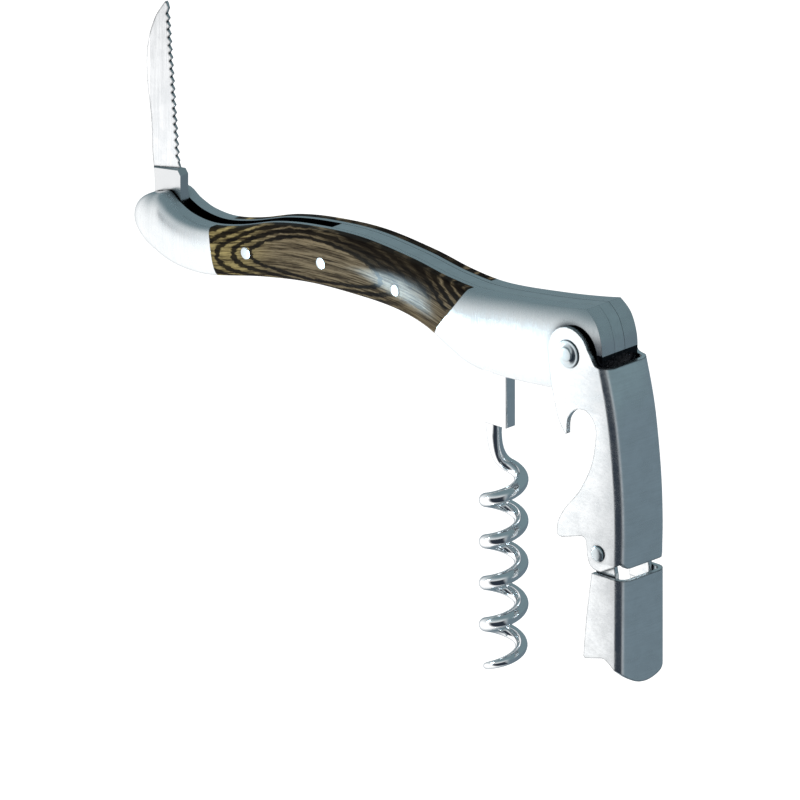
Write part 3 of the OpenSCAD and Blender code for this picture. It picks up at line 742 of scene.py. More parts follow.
FLOAT, VECTOR, COLOUR = "NodeSocketFloat", "NodeSocketVector", "NodeSocketColor"
PAINTED_CONTACT_SHADE = (0.05, 0.06, 0.07, 1)         # painted shade: what a finish turns to where pieces nearly touch
PAINTED_INSIDE_SHADE = (0.012, 0.013, 0.016, 1)     # painted near-black shade inside slots, pockets and on the tail's foot
EDGE_HEIGHT, EDGE_RISE = 0.0139, 0.078      # the tail's top edge at x = 0 and its rise


def brushing_group(name):
    """Fine parallel lines: noise stretched along the brush, and broader mottling under it."""
    net, start, end = new_group(
        name, [("Vector", VECTOR, None), ("Lines", VECTOR, (1, 1, 1)), ("Mottle", FLOAT, 400.0)],
        [("Lines", FLOAT), ("Mottle", FLOAT)])
    lines = net.stretched_noise(start["Vector"], start["Lines"], 5.0, 0.65)
    mottle = net.noise(start["Vector"], start["Mottle"], 5.0, 0.6)
    net.join(net.span(lines, 0.3, 0.7), end["Lines"])
    net.join(net.span(mottle, 0.34, 0.66), end["Mottle"])
    return net.tree


def wear_and_shade_group(name):
    """A mask of the edges, where a rounded normal leaves the true one, broken up by noise."""
    net, start, end = new_group(
        name,
        [("Vector", VECTOR, None), ("Radius", FLOAT, 0.00025), ("Amount", FLOAT, 1.0)],
        [("Mask", FLOAT)])
    bevel = net.add("ShaderNodeBevel", {"Radius": start["Radius"]}, samples=4).outputs[0]
    edge = net.span(net.vector("DOT_PRODUCT", bevel, net.true_normal()), 0.998, 0.93)
    spots = net.span(net.noise(start["Vector"], 900.0, 4.0), 0.35, 0.6, 0.7, 1.0)
    mask = net.math("MULTIPLY", net.times(edge, spots), start["Amount"], clamp=True)
    net.join(mask, end["Mask"])
    return net.tree


def contact_group(name):
    """A mask of the places that something else stands close to, where less light arrives."""
    net, start, end = new_group(
        name, [("Reach", FLOAT, 0.0008), ("Amount", FLOAT, 1.0)], [("Mask", FLOAT)])
    open_sky = net.add("ShaderNodeAmbientOcclusion", {"Distance": start["Reach"]}, samples=8)
    closed = net.span(open_sky.outputs["AO"], 0.98, 0.55)
    net.join(net.math("MULTIPLY", closed, start["Amount"], clamp=True), end["Mask"])
    return net.tree


def flank_group(name):
    """The normal of a flank polished rounder than it is: it leans up towards the top edge, by
    a slope that fades away in so many millimetres below it, and out towards the tail's end.
    The top edge rises evenly along the tail."""
    net, start, end = new_group(
        name, [("Vector", VECTOR, None), ("Slope", FLOAT, 0.95), ("Fade", FLOAT, 4.2)],
        [("Normal", VECTOR)])
    along, _, height = net.split(start["Vector"])
    edge = net.plus(EDGE_HEIGHT, net.times(along, EDGE_RISE))
    below = net.times(net.minus(edge, height), 1 / MM)
    fade = net.math("EXPONENT", net.math("DIVIDE", net.times(below, -1.0), start["Fade"]))
    lean = net.times(net.math("MINIMUM", fade, 1.0), start["Slope"],
                     net.span(along, -0.05, -0.02))
    true = net.true_normal()
    side = net.split(true)["Y"]
    up = net.add("ShaderNodeCombineXYZ", {
        "X": net.times(net.span(along, 0.021, 0.030, 0.0, 0.26), net.size_of(side)),
        "Z": net.times(lean, side, side)}).outputs[0]
    net.join(net.vector("NORMALIZE", net.vector("ADD", true, up)), end["Normal"])
    return net.tree


def scratch_group(name):
    """Hairline scratches: narrow bands of two stretched noises that cross at an angle."""
    net, start, end = new_group(
        name, [("Vector", VECTOR, None), ("Density", FLOAT, 1.0)], [("Mask", FLOAT)])
    masks = []
    for turn, scale in ((0.5, (90, 90, 1400)), (-0.8, (1100, 90, 80))):
        turned = net.add("ShaderNodeVectorRotate", {"Vector": start["Vector"], "Angle": turn},
                         rotation_type="Y_AXIS").outputs[0]
        band = net.stretched_noise(turned, scale, 1.0, 0.4)
        masks.append(net.span(net.size_of(net.minus(band, 0.5)), 0.006, 0.0))
    patch = net.span(net.noise(start["Vector"], 160.0, 2.0), 0.45, 0.65)
    both = net.times(net.math("MAXIMUM", *masks), patch)
    net.join(net.math("MULTIPLY", both, start["Density"], clamp=True), end["Mask"])
    return net.tree


def figure_group(name):
    """The wood's figure in millimetres along and across the grip. Rings of a long ellipse,
    whose distance is counted from its centre and bent by noise, are thinner above and below
    than at their ends; between them lie fine rings, most of all at the upper right, which the
    rings output also darkens as a whole. Streaks and short pores follow the grain."""
    net, start, end = new_group(
        name, [("Grain", VECTOR, None), ("Centre", VECTOR, (-66.0, -0.2, 0.0)),
               ("Aspect", FLOAT, 4.1), ("First", FLOAT, 16.8), ("Spacing", FLOAT, 4.2)],
        [("Rings", FLOAT), ("Streaks", FLOAT), ("Pores", FLOAT)])
    grain = start["Grain"]
    along, height, _ = net.split(net.vector("SUBTRACT", grain, start["Centre"]))

    def bend(scale, size):
        """Noise from -size / 2 to size / 2."""
        return net.times(net.minus(net.stretched_noise(grain, scale), 0.5), size)

    across = net.times(net.plus(height, bend((0.10, 0.25, 0.1), 1.6)), start["Aspect"])
    radius = net.math("SQRT", net.plus(net.times(along, along), net.times(across, across)))
    radius = net.plus(radius, bend((0.7, 1.6, 0.4), 2.2))
    turns = net.math("DIVIDE", net.minus(radius, start["First"]), start["Spacing"])
    slim = net.plus(1.0, net.times(net.size_of(height), 0.3))
    thick = net.plus(1.0, bend((0.35, 0.9, 0.3), 1.4))

    def rings(count, low, high):
        """Rings, so many to a spacing: the distance to the nearest one, read from its half
        width high down to low."""
        part = net.math("FRACT", net.plus(net.times(turns, count), 0.5))
        part = net.times(net.size_of(net.minus(part, 0.5)),
                         net.math("DIVIDE", start["Spacing"], count))
        return net.span(net.math("DIVIDE", part, net.times(slim, thick)), high, low)

    outside = net.span(turns, -0.45, -0.3)
    corner = net.times(net.span(height, 0.4, 1.8), net.span(along, -4.0, 10.0),
                       net.span(along, 34.0, 27.0))
    fine = net.times(rings(3.0, 0.08, 0.42), net.plus(0.12, net.times(corner, 0.8)))
    ring = net.math("MAXIMUM", net.math("MAXIMUM", rings(1.0, 0.36, 0.85), fine),
                    net.times(corner, 0.84))
    faded = net.math("MAXIMUM", net.span(along, 26.0, 16.0, 0.12, 1.0), net.span(height, 0.5, 2.0))
    streaks = net.stretched_noise(grain, (0.13, 2.9, 1.0), 5.0, 0.62)
    pores = net.stretched_noise(grain, (0.7, 9.0, 4.0), 2.0)
    net.join(net.times(ring, outside, faded), end["Rings"])
    net.join(net.span(streaks, 0.34, 0.64), end["Streaks"])
    net.join(net.span(pores, 0.55, 0.68), end["Pores"])
    return net.tree


def finish(name, metallic=0.0):
    """A new material: its net and its shader."""
    material = bpy.data.materials.new(name)
    material.use_nodes = True
    shader = material.node_tree.nodes["Principled BSDF"]
    shader.inputs["Metallic"].default_value = metallic
    return material, Net(material.node_tree), shader.inputs


def steel(name, colour, rough, lines, mottle=400.0, streaky=0.05, mottled=0.04, wear=0.0,
          painted_edge_tone=1.3, wear_and_shade_width=0.00025, bump=0.15, reach=0.0008, rounded=False):
    """A metal finish: brushed lines and mottling vary its roughness and shade, edges are smoother
    from wearing and take a painted tone of their own, a painted shade darker than the face in
    each finish here, hairline scratches catch the light, seams and places near other pieces take
    painted shade, slots, pockets and the tail's foot take painted near-black shade, and dull
    faces are greyer."""
    material, net, shader = finish(name, 1.0)
    place = net.add("ShaderNodeTexCoord").outputs["Object"]
    brushed = net.group("Brushed lines", brushing_group, {
        "Vector": place, "Lines": lines, "Mottle": mottle})
    # Edges are made smoother from wearing and painted a tone of their own: a painted shade in each
    # finish here.
    wear_and_shade_mask = net.group("Edge wear", wear_and_shade_group, {
        "Vector": place, "Radius": wear_and_shade_width, "Amount": wear})["Mask"]
    scratched = net.group("Hairline scratches", scratch_group, {
        "Vector": place, "Density": 0.3})["Mask"]
    # Painted shade where other pieces stand close.
    close = net.group("Contact shade", contact_group, {"Reach": reach})["Mask"]
    share = net.plus(net.times(brushed["Lines"], streaky / (streaky + mottled)),
                     net.times(brushed["Mottle"], mottled / (streaky + mottled)))

    def toned(by):
        return rgba([min(1, c * by) for c in colour])

    base = net.mix(share, toned(1 - 2 * streaky - 2 * mottled), toned(1))
    inside, dull = net.attribute("inside"), net.attribute("dull")
    # Painted shade: on edges, where pieces nearly touch, and on slots, pockets and the tail's foot;
    # dull faces are greyer.
    for mask, tone in ((wear_and_shade_mask, toned(painted_edge_tone)), (close, PAINTED_CONTACT_SHADE), (inside, PAINTED_INSIDE_SHADE),
                       (dull, toned(0.7))):
        base = net.mix(mask, base, tone)
    net.join(base, shader["Base Color"])
    roughness = net.plus(net.span(share, 0, 1, rough + 0.05, rough - 0.04),
                         net.times(scratched, 0.12))
    roughness = net.math("SUBTRACT", roughness, net.times(wear_and_shade_mask, 0.06), clamp=True)
    net.join(roughness, shader["Roughness"])
    normal = net.add("ShaderNodeBump", {
        "Strength": bump, "Distance": 0.00002, "Height": net.minus(brushed["Lines"], scratched)})
    if rounded:
        flank = net.group("Rounded flank", flank_group, {"Vector": place})
        net.join(flank["Normal"], normal.inputs["Normal"])
    net.join(normal.outputs[0], shader["Normal"])
    return material


def wood(name, tones):
    """Varnished wood: dark rings and streaks over a golden brown, pores that dip, and a coat
    that is clear where the grip is rubbed, in a wedge that widens towards the tail. Its
    pattern follows the grip through the mesh's own "grain" attribute."""
    material, net, shader = finish(name)
    grain = net.attribute("grain", "Vector")
    along, height, _ = net.split(grain)
    figure = net.group("Wood figure", figure_group, {"Grain": grain})
    streaks, pores = figure["Streaks"], figure["Pores"]
    light = net.mix(net.span(along, -88.0, -75.0), rgba(tones.wood_gold), rgba(tones.wood_grey))
    body = net.mix(streaks, rgba(tones.wood_brown), light)
    for mask, share in ((figure["Rings"], 0.95), (pores, 0.45)):
        body = net.mix(net.times(mask, share), body, rgba(tones.wood_dark))
    net.join(body, shader["Base Color"])
    net.join(net.span(streaks, 0, 1, 0.5, 0.38), shader["Roughness"])
    normal = net.add("ShaderNodeBump", {
        "Strength": 0.2, "Distance": 0.00004, "Height": net.minus(streaks, pores)})
    net.join(normal.outputs[0], shader["Normal"])
    spread = net.math("DIVIDE", net.size_of(height), net.span(along, -62.0, -36.0, 0.5, 3.6))
    rubbed = net.times(net.span(spread, 1.35, 0.1), net.span(along, -62.0, -45.0),
                       net.span(along, -33.5, -39.5), net.span(streaks, 0, 1, 0.7, 1.0))
    net.join(net.span(rubbed, 0, 1, 0.0, 0.55), shader["Coat Weight"])
    shader["Coat Roughness"].default_value = 0.26
    shader["Specular IOR Level"].default_value = 0.02
    return material


# ---- Sizes and colours ---------------------------------------------------------------------

def colour(name, description, default):
    return bpy.props.FloatVectorProperty(
        name=name, description=description, default=default, size=3, subtype="COLOR", min=0, max=1)


def length(name, description, default):
    return bpy.props.FloatProperty(
        name=name, description=description, default=default * MM, unit="LENGTH", min=0,
        precision=5)


class CorkscrewTones(bpy.types.PropertyGroup):
    """Colours of the finishes."""
    wood_gold: colour("Wood, gold", "Light streaks at the nose end", (0.47, 0.385, 0.165))
    wood_grey: colour("Wood, light", "Light streaks of the middle and the tail end",
                      (0.275, 0.225, 0.138))
    wood_brown: colour("Wood, brown", "Darker streaks of the wood", (0.035, 0.024, 0.013))
    wood_dark: colour("Wood, rings", "The figure's dark rings", (0.004, 0.003, 0.003))
    frame_steel: colour("Frame steel", "Satin steel of the handle", (0.72, 0.74, 0.75))
    spring_steel: colour("Spring steel", "Brushed steel between the frames", (0.76, 0.79, 0.80))
    lever_steel: colour("Lever steel", "Brushed steel of the levers", (0.90, 0.92, 0.93))
    pin_steel: colour("Pin steel", "Polished steel of the pins and rivets", (0.57, 0.62, 0.64))
    bright_steel: colour("Bright steel", "Polished steel of the worm", (0.84, 0.85, 0.86))
    blade_steel: colour("Blade steel", "Ground steel of the knife", (0.86, 0.87, 0.88))


class CorkscrewSizes(bpy.types.PropertyGroup):
    """Sizes of the pieces' finer forms and of the stage."""
    pin: length("Scale pins", "Diameter of the pins that hold the scales", 2.4)
    blade: length("Blade", "Thickness of the blade", 2.2)
    tooth_pitch: length("Tooth pitch", "Distance between two teeth of the edge", 1.55)
    tooth_depth: length("Tooth depth", "Depth of the teeth", 0.75)
    coil: length("Coil", "Outer diameter of the coil", 9.4)
    wire: length("Wire", "Diameter of the coil's wire", 2.7)
    coil_pitch: length("Coil pitch", "Height of one turn of the coil", 8.33)
    coil_turns: bpy.props.FloatProperty(
        name="Coil turns", description="Number of turns of the coil", default=4.8, min=3, max=5)
    fine_edge: length("Fine edge", "Width of the rounded edges of thin sheet", 0.16)
    seam: length("Seam", "Width of the rounded edges where two pieces meet", 0.08)
    view_width: length("View width", "Width that the camera shows", 150.94)
    lamp: bpy.props.FloatProperty(
        name="Lamp strength", description="Power of the main lamp", default=2.6, min=0,
        unit="POWER")
    sheen: bpy.props.FloatProperty(
        name="Sheen strength", description="Power of the small lamp mirrored in the varnish",
        default=0.06, min=0, unit="POWER")


def size(context, name):
    """A size that the user can change, in millimetres."""
    return getattr(context.scene.corkscrew_sizes, name) / MM


# Each finish paints its edges darker than its face, a painted shade, and paints contact shade as
# far as its reach.
STEELS = {
    "satin frame steel": ("frame_steel", dict(
        rough=0.26, lines=(2600, 500, 60), streaky=0.02, mottled=0.02, wear=0.8, painted_edge_tone=0.6,
        reach=0.002, rounded=True)),
    "brushed spring steel": ("spring_steel", dict(
        rough=0.34, lines=(60, 3000, 900), streaky=0.04, mottled=0.03, wear=0.5, painted_edge_tone=0.5)),
    "brushed lever steel": ("lever_steel", dict(
        rough=0.23, lines=(900, 90, 2600), mottle=260, streaky=0.03, mottled=0.035, wear=1.0,
        painted_edge_tone=0.08, wear_and_shade_width=0.0004)),
    "polished worm steel": ("bright_steel", dict(
        rough=0.09, lines=(300, 300, 900), streaky=0.01, mottled=0.02, wear=0.8, painted_edge_tone=0.3,
        bump=0.05)),
    "polished pin steel": ("pin_steel", dict(
        rough=0.22, lines=(900, 900, 900), streaky=0.01, mottled=0.01, wear=0.6, painted_edge_tone=0.5,
        bump=0.03)),
    "ground blade steel": ("blade_steel", dict(
        rough=0.18, lines=(2400, 400, 90), streaky=0.02, mottled=0.02, wear=1.0, painted_edge_tone=0.12,
        wear_and_shade_width=0.0005)),
}


def finish_of(name):
    """The named finish, made once from the colours."""
    found = bpy.data.materials.get(name)
    if found:
        return found
    tones = bpy.context.scene.corkscrew_tones
    if name in STEELS:
        tone, settings = STEELS[name]
        return steel(name, getattr(tones, tone), **settings)
    return wood(name, tones)


def mark_grain(obj):
    """Stores, at each point, its place along the grip and its height over the grip's middle
    line, in millimetres, for the wood's figure to follow."""
    mesh = obj.data
    x, y, z = (places(mesh.vertices, "co") / MM - RIVET.astype(np.float32)).T
    middle = (value(TOP_ROWS, x) + value(BOTTOM_ROWS, x)) / 2
    grain = np.stack([x, z - middle, y], 1).astype(np.float32)
    mesh.attributes.new("grain", "FLOAT_VECTOR", "POINT").data.foreach_set("vector", grain.ravel())


def mark_faces(obj, name, picked, origin=RIVET):
    """Stores 1 on the faces that a test of their centres (x, y, z) picks, and 0 on the others,
    under a name that the finish reads: its inside takes a painted near-black shade and its dull
    faces are greyer. The centres are measured from the origin given."""
    mesh = obj.data
    x, y, z = (places(mesh.polygons, "center").astype(float) / MM - origin).T
    mask = picked(x, y, z).astype(np.float32)
    mesh.attributes.new(name, "FLOAT", "FACE").data.foreach_set("value", mask)


# ---- Operators -----------------------------------------------------------------------------

def both_sides(obj, look, slot, back, front, mark=None, body="handle"):
    """obj, built on the back half, and its mirrored twin, each standing for its own node and
    marked for its finish where it needs that."""
    twin = mirrored(obj, front + "_form")
    for piece, node in ((obj, back), (twin, front)):
        placed(piece, look, body, slot, node)
        if mark:
            mark(piece)


def tail_foot(x, z):
    """The foot of the tail's end, which the lever shades; its shade is painted."""
    return (x > 4.5) & (z < 0.9)


def frame_painted_shade(x, y, z):
    """Faces that take painted near-black shade: the slot's walls, the pocket that the lever's
    ear turns in, and the tail's foot.
    """
    pocket = np.hypot(x - EAR_POCKET[0], z - EAR_POCKET[1]) < EAR_R + 0.03
    pocket &= abs(y) < TAIL_W / 2 - 0.04
    return (abs(y) < HALF_SLOT + 0.03) | pocket | tail_foot(x, z)


def spring_painted_shade(x, y, z):
    """Faces that take painted near-black shade: the walls and the floor of the room that the
    blade folds into, and the tail's foot.
    """
    room = x < KNIFE_X + BLADE_L + 2 * FOLD_GAP + 0.01
    return tail_foot(x, z) | (room & (z > bottom_z(x) + 0.3) & (z < top_z(x) - 0.2))


class BuildFrames(bpy.types.Operator):
    """Builds the two steel frames with their nose, liner and tail"""
    bl_idname = "corkscrew.frames"
    bl_label = "Steel frames"
    bl_options = {"REGISTER", "UNDO"}

    def execute(self, context):
        half = handle_side("back_frame_form")
        carve(half, prism("tail", tail_outline(), 0, FAR), "INTERSECT")
        carve(half, prism("recess", scale_outline(), LINER_Y, FAR), "DIFFERENCE")
        pocket = prism("pocket", arc(EAR_POCKET, EAR_R, 0, 360, 96)[:-1], EAR_POCKET_Y, FAR)
        carve(pocket, rod("boss", 0, 0, 2 * BOSS_R, 0, 2 * FAR, 96), "DIFFERENCE")
        carve(half, pocket, "DIFFERENCE")
        drill(half, 0, 0, RIVET_D + FIXED_GAP, 64)
        soften(half, size(context, "seam"), 2, 40)
        # The inside mark paints near-black shade on the slot's walls, the ear's pocket and the
        # tail's foot.
        both_sides(half, "satin frame steel", "frame_steel", "back_frame", "front_frame",
                   lambda piece: mark_faces(piece, "inside", frame_painted_shade))
        return {"FINISHED"}


class BuildScales(bpy.types.Operator):
    """Builds the two wooden scales"""
    bl_idname = "corkscrew.scales"
    bl_label = "Wooden scales"
    bl_options = {"REGISTER", "UNDO"}

    def execute(self, context):
        pin = size(context, "pin")
        half = handle_side("back_scale_form")
        carve(half, prism("room", scale_outline(), LINER_Y, FAR), "INTERSECT")
        for x, z, _ in PIN_PLACES.values():
            drill(half, x, z, pin + FIXED_GAP)
        soften(half, size(context, "seam"), 3, 40)
        both_sides(half, "varnished wood", "grip_wood", "back_scale", "front_scale", mark_grain)
        return {"FINISHED"}


class BuildSpring(bpy.types.Operator):
    """Builds the spring between the frames"""
    bl_idname = "corkscrew.spring"
    bl_label = "Spring"
    bl_options = {"REGISTER", "UNDO"}

    def execute(self, context):
        bar = prism("back_spring_form", spring_outline(), -HALF_SLOT, HALF_SLOT)
        drill(bar, 0, 0, RIVET_D + FIXED_GAP, 64)
        soften(bar, size(context, "seam"), 2, 30)
        placed(bar, "brushed spring steel", "handle", "spring_steel", "back_spring")
        # The inside mark paints near-black shade on the blade's room and the tail's foot.
        mark_faces(bar, "inside", spring_painted_shade)
        return {"FINISHED"}


class BuildPins(bpy.types.Operator):
    """Builds the handle's pins and dresses the hidden hinge pins"""
    bl_idname = "corkscrew.pins"
    bl_label = "Handle pins"
    bl_options = {"REGISTER", "UNDO"}

    def execute(self, context):
        pin = size(context, "pin")
        bright = "polished pin steel"
        for name, (x, z, crown) in PIN_PLACES.items():
            end = cap(pin / 2, crown - 0.08, crown + 0.06)
            if name == "spring":
                through = revolve("spring_pin_form", two_ended(end), (x, z), 1, 48)
                placed(through, bright, "handle", "pin_steel", "spring_pin")
            else:
                line = np.vstack([[(0, HALF_SLOT), (pin / 2, HALF_SLOT)], end])
                short = revolve(f"back_{name}_pin_form", line, (x, z), 1, 48)
                both_sides(short, bright, "pin_steel", f"back_{name}_pin", f"front_{name}_pin")
        for node in ("knife_pin", "worm_pin"):
            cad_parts[node].data.materials.clear()
            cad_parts[node].data.materials.append(finish_of(bright))
        return {"FINISHED"}


class BuildKnife(bpy.types.Operator):
    """Builds the foil knife"""
    bl_idname = "corkscrew.knife"
    bl_label = "Knife"
    bl_options = {"REGISTER", "UNDO"}

    def execute(self, context):
        thick = size(context, "blade")
        outline = blade_outline(size(context, "tooth_pitch"), size(context, "tooth_depth"))
        blade = prism("knife_blade_form", outline, -thick / 2, thick / 2)
        for side in (-1, 1):
            carve(blade, grind_wedge(side, thick), "DIFFERENCE")
        drill(blade, 0, 0, KNIFE_PIN_D + RUNNING_GAP)
        soften(blade, 0.12, 2, 32)
        mark_faces(blade, "dull", on_ricasso, 0)
        shift(blade, (KNIFE_X, 0, KNIFE_Z))
        placed(blade, "ground blade steel", "knife", "blade_steel", "knife_blade")
        return {"FINISHED"}


class BuildWorm(bpy.types.Operator):
    """Builds the worm: flat head, shoulder and coil"""
    bl_idname = "corkscrew.worm"
    bl_label = "Worm"
    bl_options = {"REGISTER", "UNDO"}

    def execute(self, context):
        wire = worm_wire("wire", size(context, "coil"), size(context, "wire"),
                         size(context, "coil_pitch"), context.scene.corkscrew_sizes.coil_turns)
        head = worm_head("worm_form")
        drill(head, 0, 0, WORM_PIN_D + RUNNING_GAP)
        soften(head, 0.12, 3, 32)
        carve(head, wire, "UNION")
        head.data.set_sharp_from_angle(angle=math.radians(40))
        shift(head, (WORM_X, 0, WORM_Z))
        placed(head, "polished worm steel", "worm", "worm_steel", "worm")
        return {"FINISHED"}


class BuildUpperLever(bpy.types.Operator):
    """Builds the upper lever and its rivets"""
    bl_idname = "corkscrew.upper_lever"
    bl_label = "Upper lever"
    bl_options = {"REGISTER", "UNDO"}

    def execute(self, context):
        lever = bent_channel("upper_lever_form")
        keep = prism("keep", upper_outline(), -FAR, FAR)
        carve(keep, prism("end", web_end_outline(), 12.2, FAR + 1, "x"), "UNION")
        carve(lever, keep, "INTERSECT")
        drill(lever, 0, 0, RIVET_D + RUNNING_GAP, 64)
        drill(lever, STEP_X, STEP_Z, STEP_RIVET_D + FIXED_GAP)
        soften(lever, size(context, "fine_edge"), 2, 35)
        placed(lever, "brushed lever steel", "lever", "lever_steel", "upper_lever")
        bright = "polished pin steel"
        rivet = revolve("lever_rivet_form", two_ended(dimpled_end()), (0, 0), 1)
        placed(rivet, bright, "handle", "pin_steel", "lever_rivet")
        step = revolve("back_step_rivet_form", step_rivet_line(), (STEP_X, STEP_Z), 1, 48)
        both_sides(step, bright, "pin_steel", "back_step_rivet", "front_step_rivet", body="lever")
        return {"FINISHED"}


class BuildLowerLever(bpy.types.Operator):
    """Builds the lower lever"""
    bl_idname = "corkscrew.lower_lever"
    bl_label = "Lower lever"
    bl_options = {"REGISTER", "UNDO"}

    def execute(self, context):
        lever = prism("lower_lever_form", channel_plan(LOWER_WEB_X), LOWER_TOP - 40, LOWER_TOP, "z")
        carve(lever, prism("side", lower_outline(), -FAR, FAR), "INTERSECT")
        carve(lever, prism("tongue", tongue_outline(), 0, FAR + 1, "x"), "INTERSECT")
        tab = lever_tab("back_tab")
        for piece in (tab, mirrored(tab, "front_tab")):
            carve(lever, piece, "UNION")
        drill(lever, STEP_X, STEP_Z, STEP_RIVET_D + RUNNING_GAP)
        soften(lever, size(context, "fine_edge"), 2, 35)
        placed(lever, "brushed lever steel", "lower_lever", "lever_steel", "lower_lever")
        return {"FINISHED"}


# ---- Floor, light and camera ---------------------------------------------------------------

VIEW_TURN, VIEW_RISE = math.radians(43), math.radians(20)
TO_CAMERA = Vector((math.sin(VIEW_TURN) * math.cos(VIEW_RISE),
                    -math.cos(VIEW_TURN) * math.cos(VIEW_RISE), math.sin(VIEW_RISE)))
AIM, CAMERA_AWAY = Vector((-1.5, -27.08, -3.14)) * MM, 0.9
SHEEN_SPOT = Vector((-24.6, -5.4, 8.7)) * MM            # the rubbed place by the tail's seam
SHEEN_WAY, SHEEN_AWAY = Vector((-0.64, -0.69, -0.34)), 0.08     # what a flat flank mirrors
FLOOR_DROP, FLOOR_HALF, FLOOR_LIFT = 30.0, 6000.0, 0.62
MIRROR_FROM = (0.02, 0.0, -0.02)                        # where metal sees the floor from
PALE_WAY, BLACK_WAY = (-0.55, -0.83, 0.0), (0.087, -0.996, 0.0)
FLOOR_DIM, WORLD_DIM = (0.17, 0.23, 0.27, 1), (0.19, 0.27, 0.30, 1)
BLACK, GREY, WHITE = (0.030, 0.040, 0.055, 1), (0.5, 0.5, 0.5, 1), (1, 1, 1, 1)


def surround_group(name):
    """The studio as polished metal shows it, by the way looked: pale at the front left and
    fading upwards, black ahead from the horizon down, and dim elsewhere, with smooth steps
    between."""
    net, start, end = new_group(
        name, [("Way", VECTOR, None), ("Pale", COLOUR, (1.45, 1.45, 1.45, 1)),
               ("Dim", COLOUR, None)], [("Colour", COLOUR)])
    way = net.vector("NORMALIZE", start["Way"])
    level = net.vector("NORMALIZE", net.vector("MULTIPLY", way, (1, 1, 0)))
    rise = net.split(way)["Z"]
    pale = net.times(net.span(net.vector("DOT_PRODUCT", way, PALE_WAY), -0.1, 0.6),
                     net.span(rise, 0.75, -0.28))
    black = net.times(net.span(net.vector("DOT_PRODUCT", level, BLACK_WAY), 0.67, 0.90),
                      net.span(rise, 0.25, -0.05))
    colour = net.mix(pale, start["Dim"], start["Pale"])
    net.join(net.mix(black, colour, BLACK), end["Colour"])
    return net.tree


def lamp(name, place, spread, watts, aim=(0, 0, 0), tint=(1, 1, 1)):
    """A soft rectangular lamp of (width, height) at a place, turned towards its aim."""
    data = bpy.data.lights.new(name, "AREA")
    data.shape, (data.size, data.size_y) = "RECTANGLE", spread
    data.energy, data.color = watts, tint
    obj = bpy.data.objects.new(name, data)
    obj.location = place
    obj.rotation_euler = (Vector(place) - Vector(aim)).to_track_quat("Z", "Y").to_euler()
    bpy.context.scene.collection.objects.link(obj)
    return obj


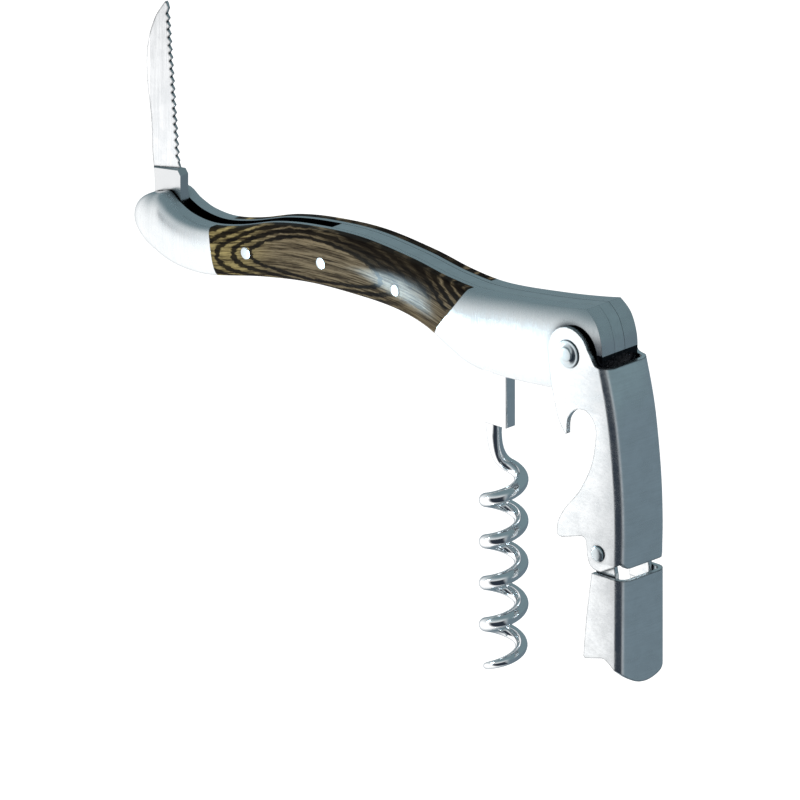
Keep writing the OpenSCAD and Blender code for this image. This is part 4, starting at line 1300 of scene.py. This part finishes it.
class BuildStage(bpy.types.Operator):
    """Builds the floor, the surround, the lamps and the camera"""
    bl_idname = "corkscrew.stage"
    bl_label = "Stage"
    bl_options = {"REGISTER", "UNDO"}

    def execute(self, context):
        scene = context.scene
        self.floor()
        self.surround(scene)
        power = scene.corkscrew_sizes.lamp
        for made in (lamp("key_lamp", (-0.5, -0.75, 0.35), (0.5, 0.4), power),
                     lamp("top_lamp", (0.0, -0.2, 0.8), (0.5, 0.5), power * 0.6)):
            made.visible_glossy = False
        sheen = lamp("sheen_lamp", SHEEN_SPOT + SHEEN_WAY * SHEEN_AWAY, (0.016, 0.04),
                     scene.corkscrew_sizes.sheen, SHEEN_SPOT, (0.62, 0.86, 1.0))
        sheen.visible_diffuse = False
        camera = bpy.data.cameras.new("camera")
        camera.type, camera.ortho_scale = "ORTHO", scene.corkscrew_sizes.view_width
        camera.clip_start, camera.clip_end = 0.01, 20
        obj = bpy.data.objects.new("camera", camera)
        obj.location = AIM + TO_CAMERA * CAMERA_AWAY
        obj.rotation_euler = TO_CAMERA.to_track_quat("Z", "Y").to_euler()
        scene.collection.objects.link(obj)
        scene.camera = obj
        scene.view_settings.view_transform = "Standard"
        return {"FINISHED"}

    def floor(self):
        """A white floor that keeps the object's shadow; what the camera sees of it is lifted
        to white, and what metal sees of it follows the surround."""
        low = min(CAD_BOX[0][2], CAD_BOX[1][2]) / MM - FLOOR_DROP
        ends = ((-1, -1), (1, -1), (1, 1), (-1, 1))
        corners = [(x * FLOOR_HALF, y * FLOOR_HALF, low) for x, y in ends]
        plane = write_mesh("floor", corners, [(0, 1, 2, 3)])
        plane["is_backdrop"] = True
        material, net, shader = finish("white floor")
        shader["Base Color"].default_value = (0.8, 0.8, 0.8, 1)
        shader["Roughness"].default_value = 0.9
        shader["Specular IOR Level"].default_value = 0.0
        rays = net.add("ShaderNodeLightPath").outputs
        place = net.add("ShaderNodeTexCoord").outputs["Object"]
        seen = net.group("Studio surround", surround_group, {
            "Way": net.vector("SUBTRACT", place, MIRROR_FROM), "Dim": FLOOR_DIM})["Colour"]
        glow = net.add("ShaderNodeEmission", {
            "Color": WHITE, "Strength": net.times(rays["Is Camera Ray"], FLOOR_LIFT)})
        mirror = net.add("ShaderNodeEmission", {"Color": seen})
        plain = net.add("ShaderNodeAddShader", {
            0: net.tree.nodes["Principled BSDF"].outputs[0], 1: glow.outputs[0]})
        both = net.add("ShaderNodeMixShader", {
            0: rays["Is Glossy Ray"], 1: plain.outputs[0], 2: mirror.outputs[0]})
        net.join(both.outputs[0], net.tree.nodes["Material Output"].inputs["Surface"])
        plane.data.materials.append(material)

    def surround(self, scene):
        """A world that is white to the camera, the studio's surround to polished metal and an
        even grey to everything else."""
        world = bpy.data.worlds.new("studio")
        world.use_nodes = True
        scene.world = world
        net = Net(world.node_tree)
        way = net.add("ShaderNodeTexCoord").outputs["Generated"]
        seen = net.group("Studio surround", surround_group, {"Way": way, "Dim": WORLD_DIM})
        rays = net.add("ShaderNodeLightPath").outputs
        lit = net.mix(rays["Is Camera Ray"], GREY, WHITE)
        lit = net.mix(rays["Is Glossy Ray"], lit, seen["Colour"])
        net.join(lit, net.tree.nodes["Background"].inputs["Color"])


class CORKSCREW_PT_panel(bpy.types.Panel):
    """Lists the operators, the sizes and the colours."""
    bl_label = "Corkscrew"
    bl_space_type = "VIEW_3D"
    bl_region_type = "UI"
    bl_category = "Corkscrew"

    def draw(self, context):
        for kind in OPERATORS:
            self.layout.operator(kind.bl_idname)
        for group in (context.scene.corkscrew_sizes, context.scene.corkscrew_tones):
            for key in group.__annotations__:
                self.layout.prop(group, key)


OPERATORS = [BuildFrames, BuildScales, BuildSpring, BuildPins, BuildKnife, BuildWorm,
             BuildUpperLever, BuildLowerLever, BuildStage]
CLASSES = [CorkscrewTones, CorkscrewSizes, *OPERATORS, CORKSCREW_PT_panel]


def register():
    for kind in CLASSES:
        bpy.utils.register_class(kind)
    bpy.types.Scene.corkscrew_tones = bpy.props.PointerProperty(type=CorkscrewTones)
    bpy.types.Scene.corkscrew_sizes = bpy.props.PointerProperty(type=CorkscrewSizes)


def unregister():
    del bpy.types.Scene.corkscrew_sizes
    del bpy.types.Scene.corkscrew_tones
    for kind in reversed(CLASSES):
        bpy.utils.unregister_class(kind)


def plain(box):
    """A box's corners as plain lists of numbers."""
    return [[float(n) for n in point] for point in box]


def main():
    register()
    for kind in OPERATORS:
        group, name = kind.bl_idname.split(".")
        getattr(getattr(bpy.ops, group), name)()
    {"cad": plain(CAD_BOX), "visual": plain(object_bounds())}


if __name__ == "__main__":
    main()
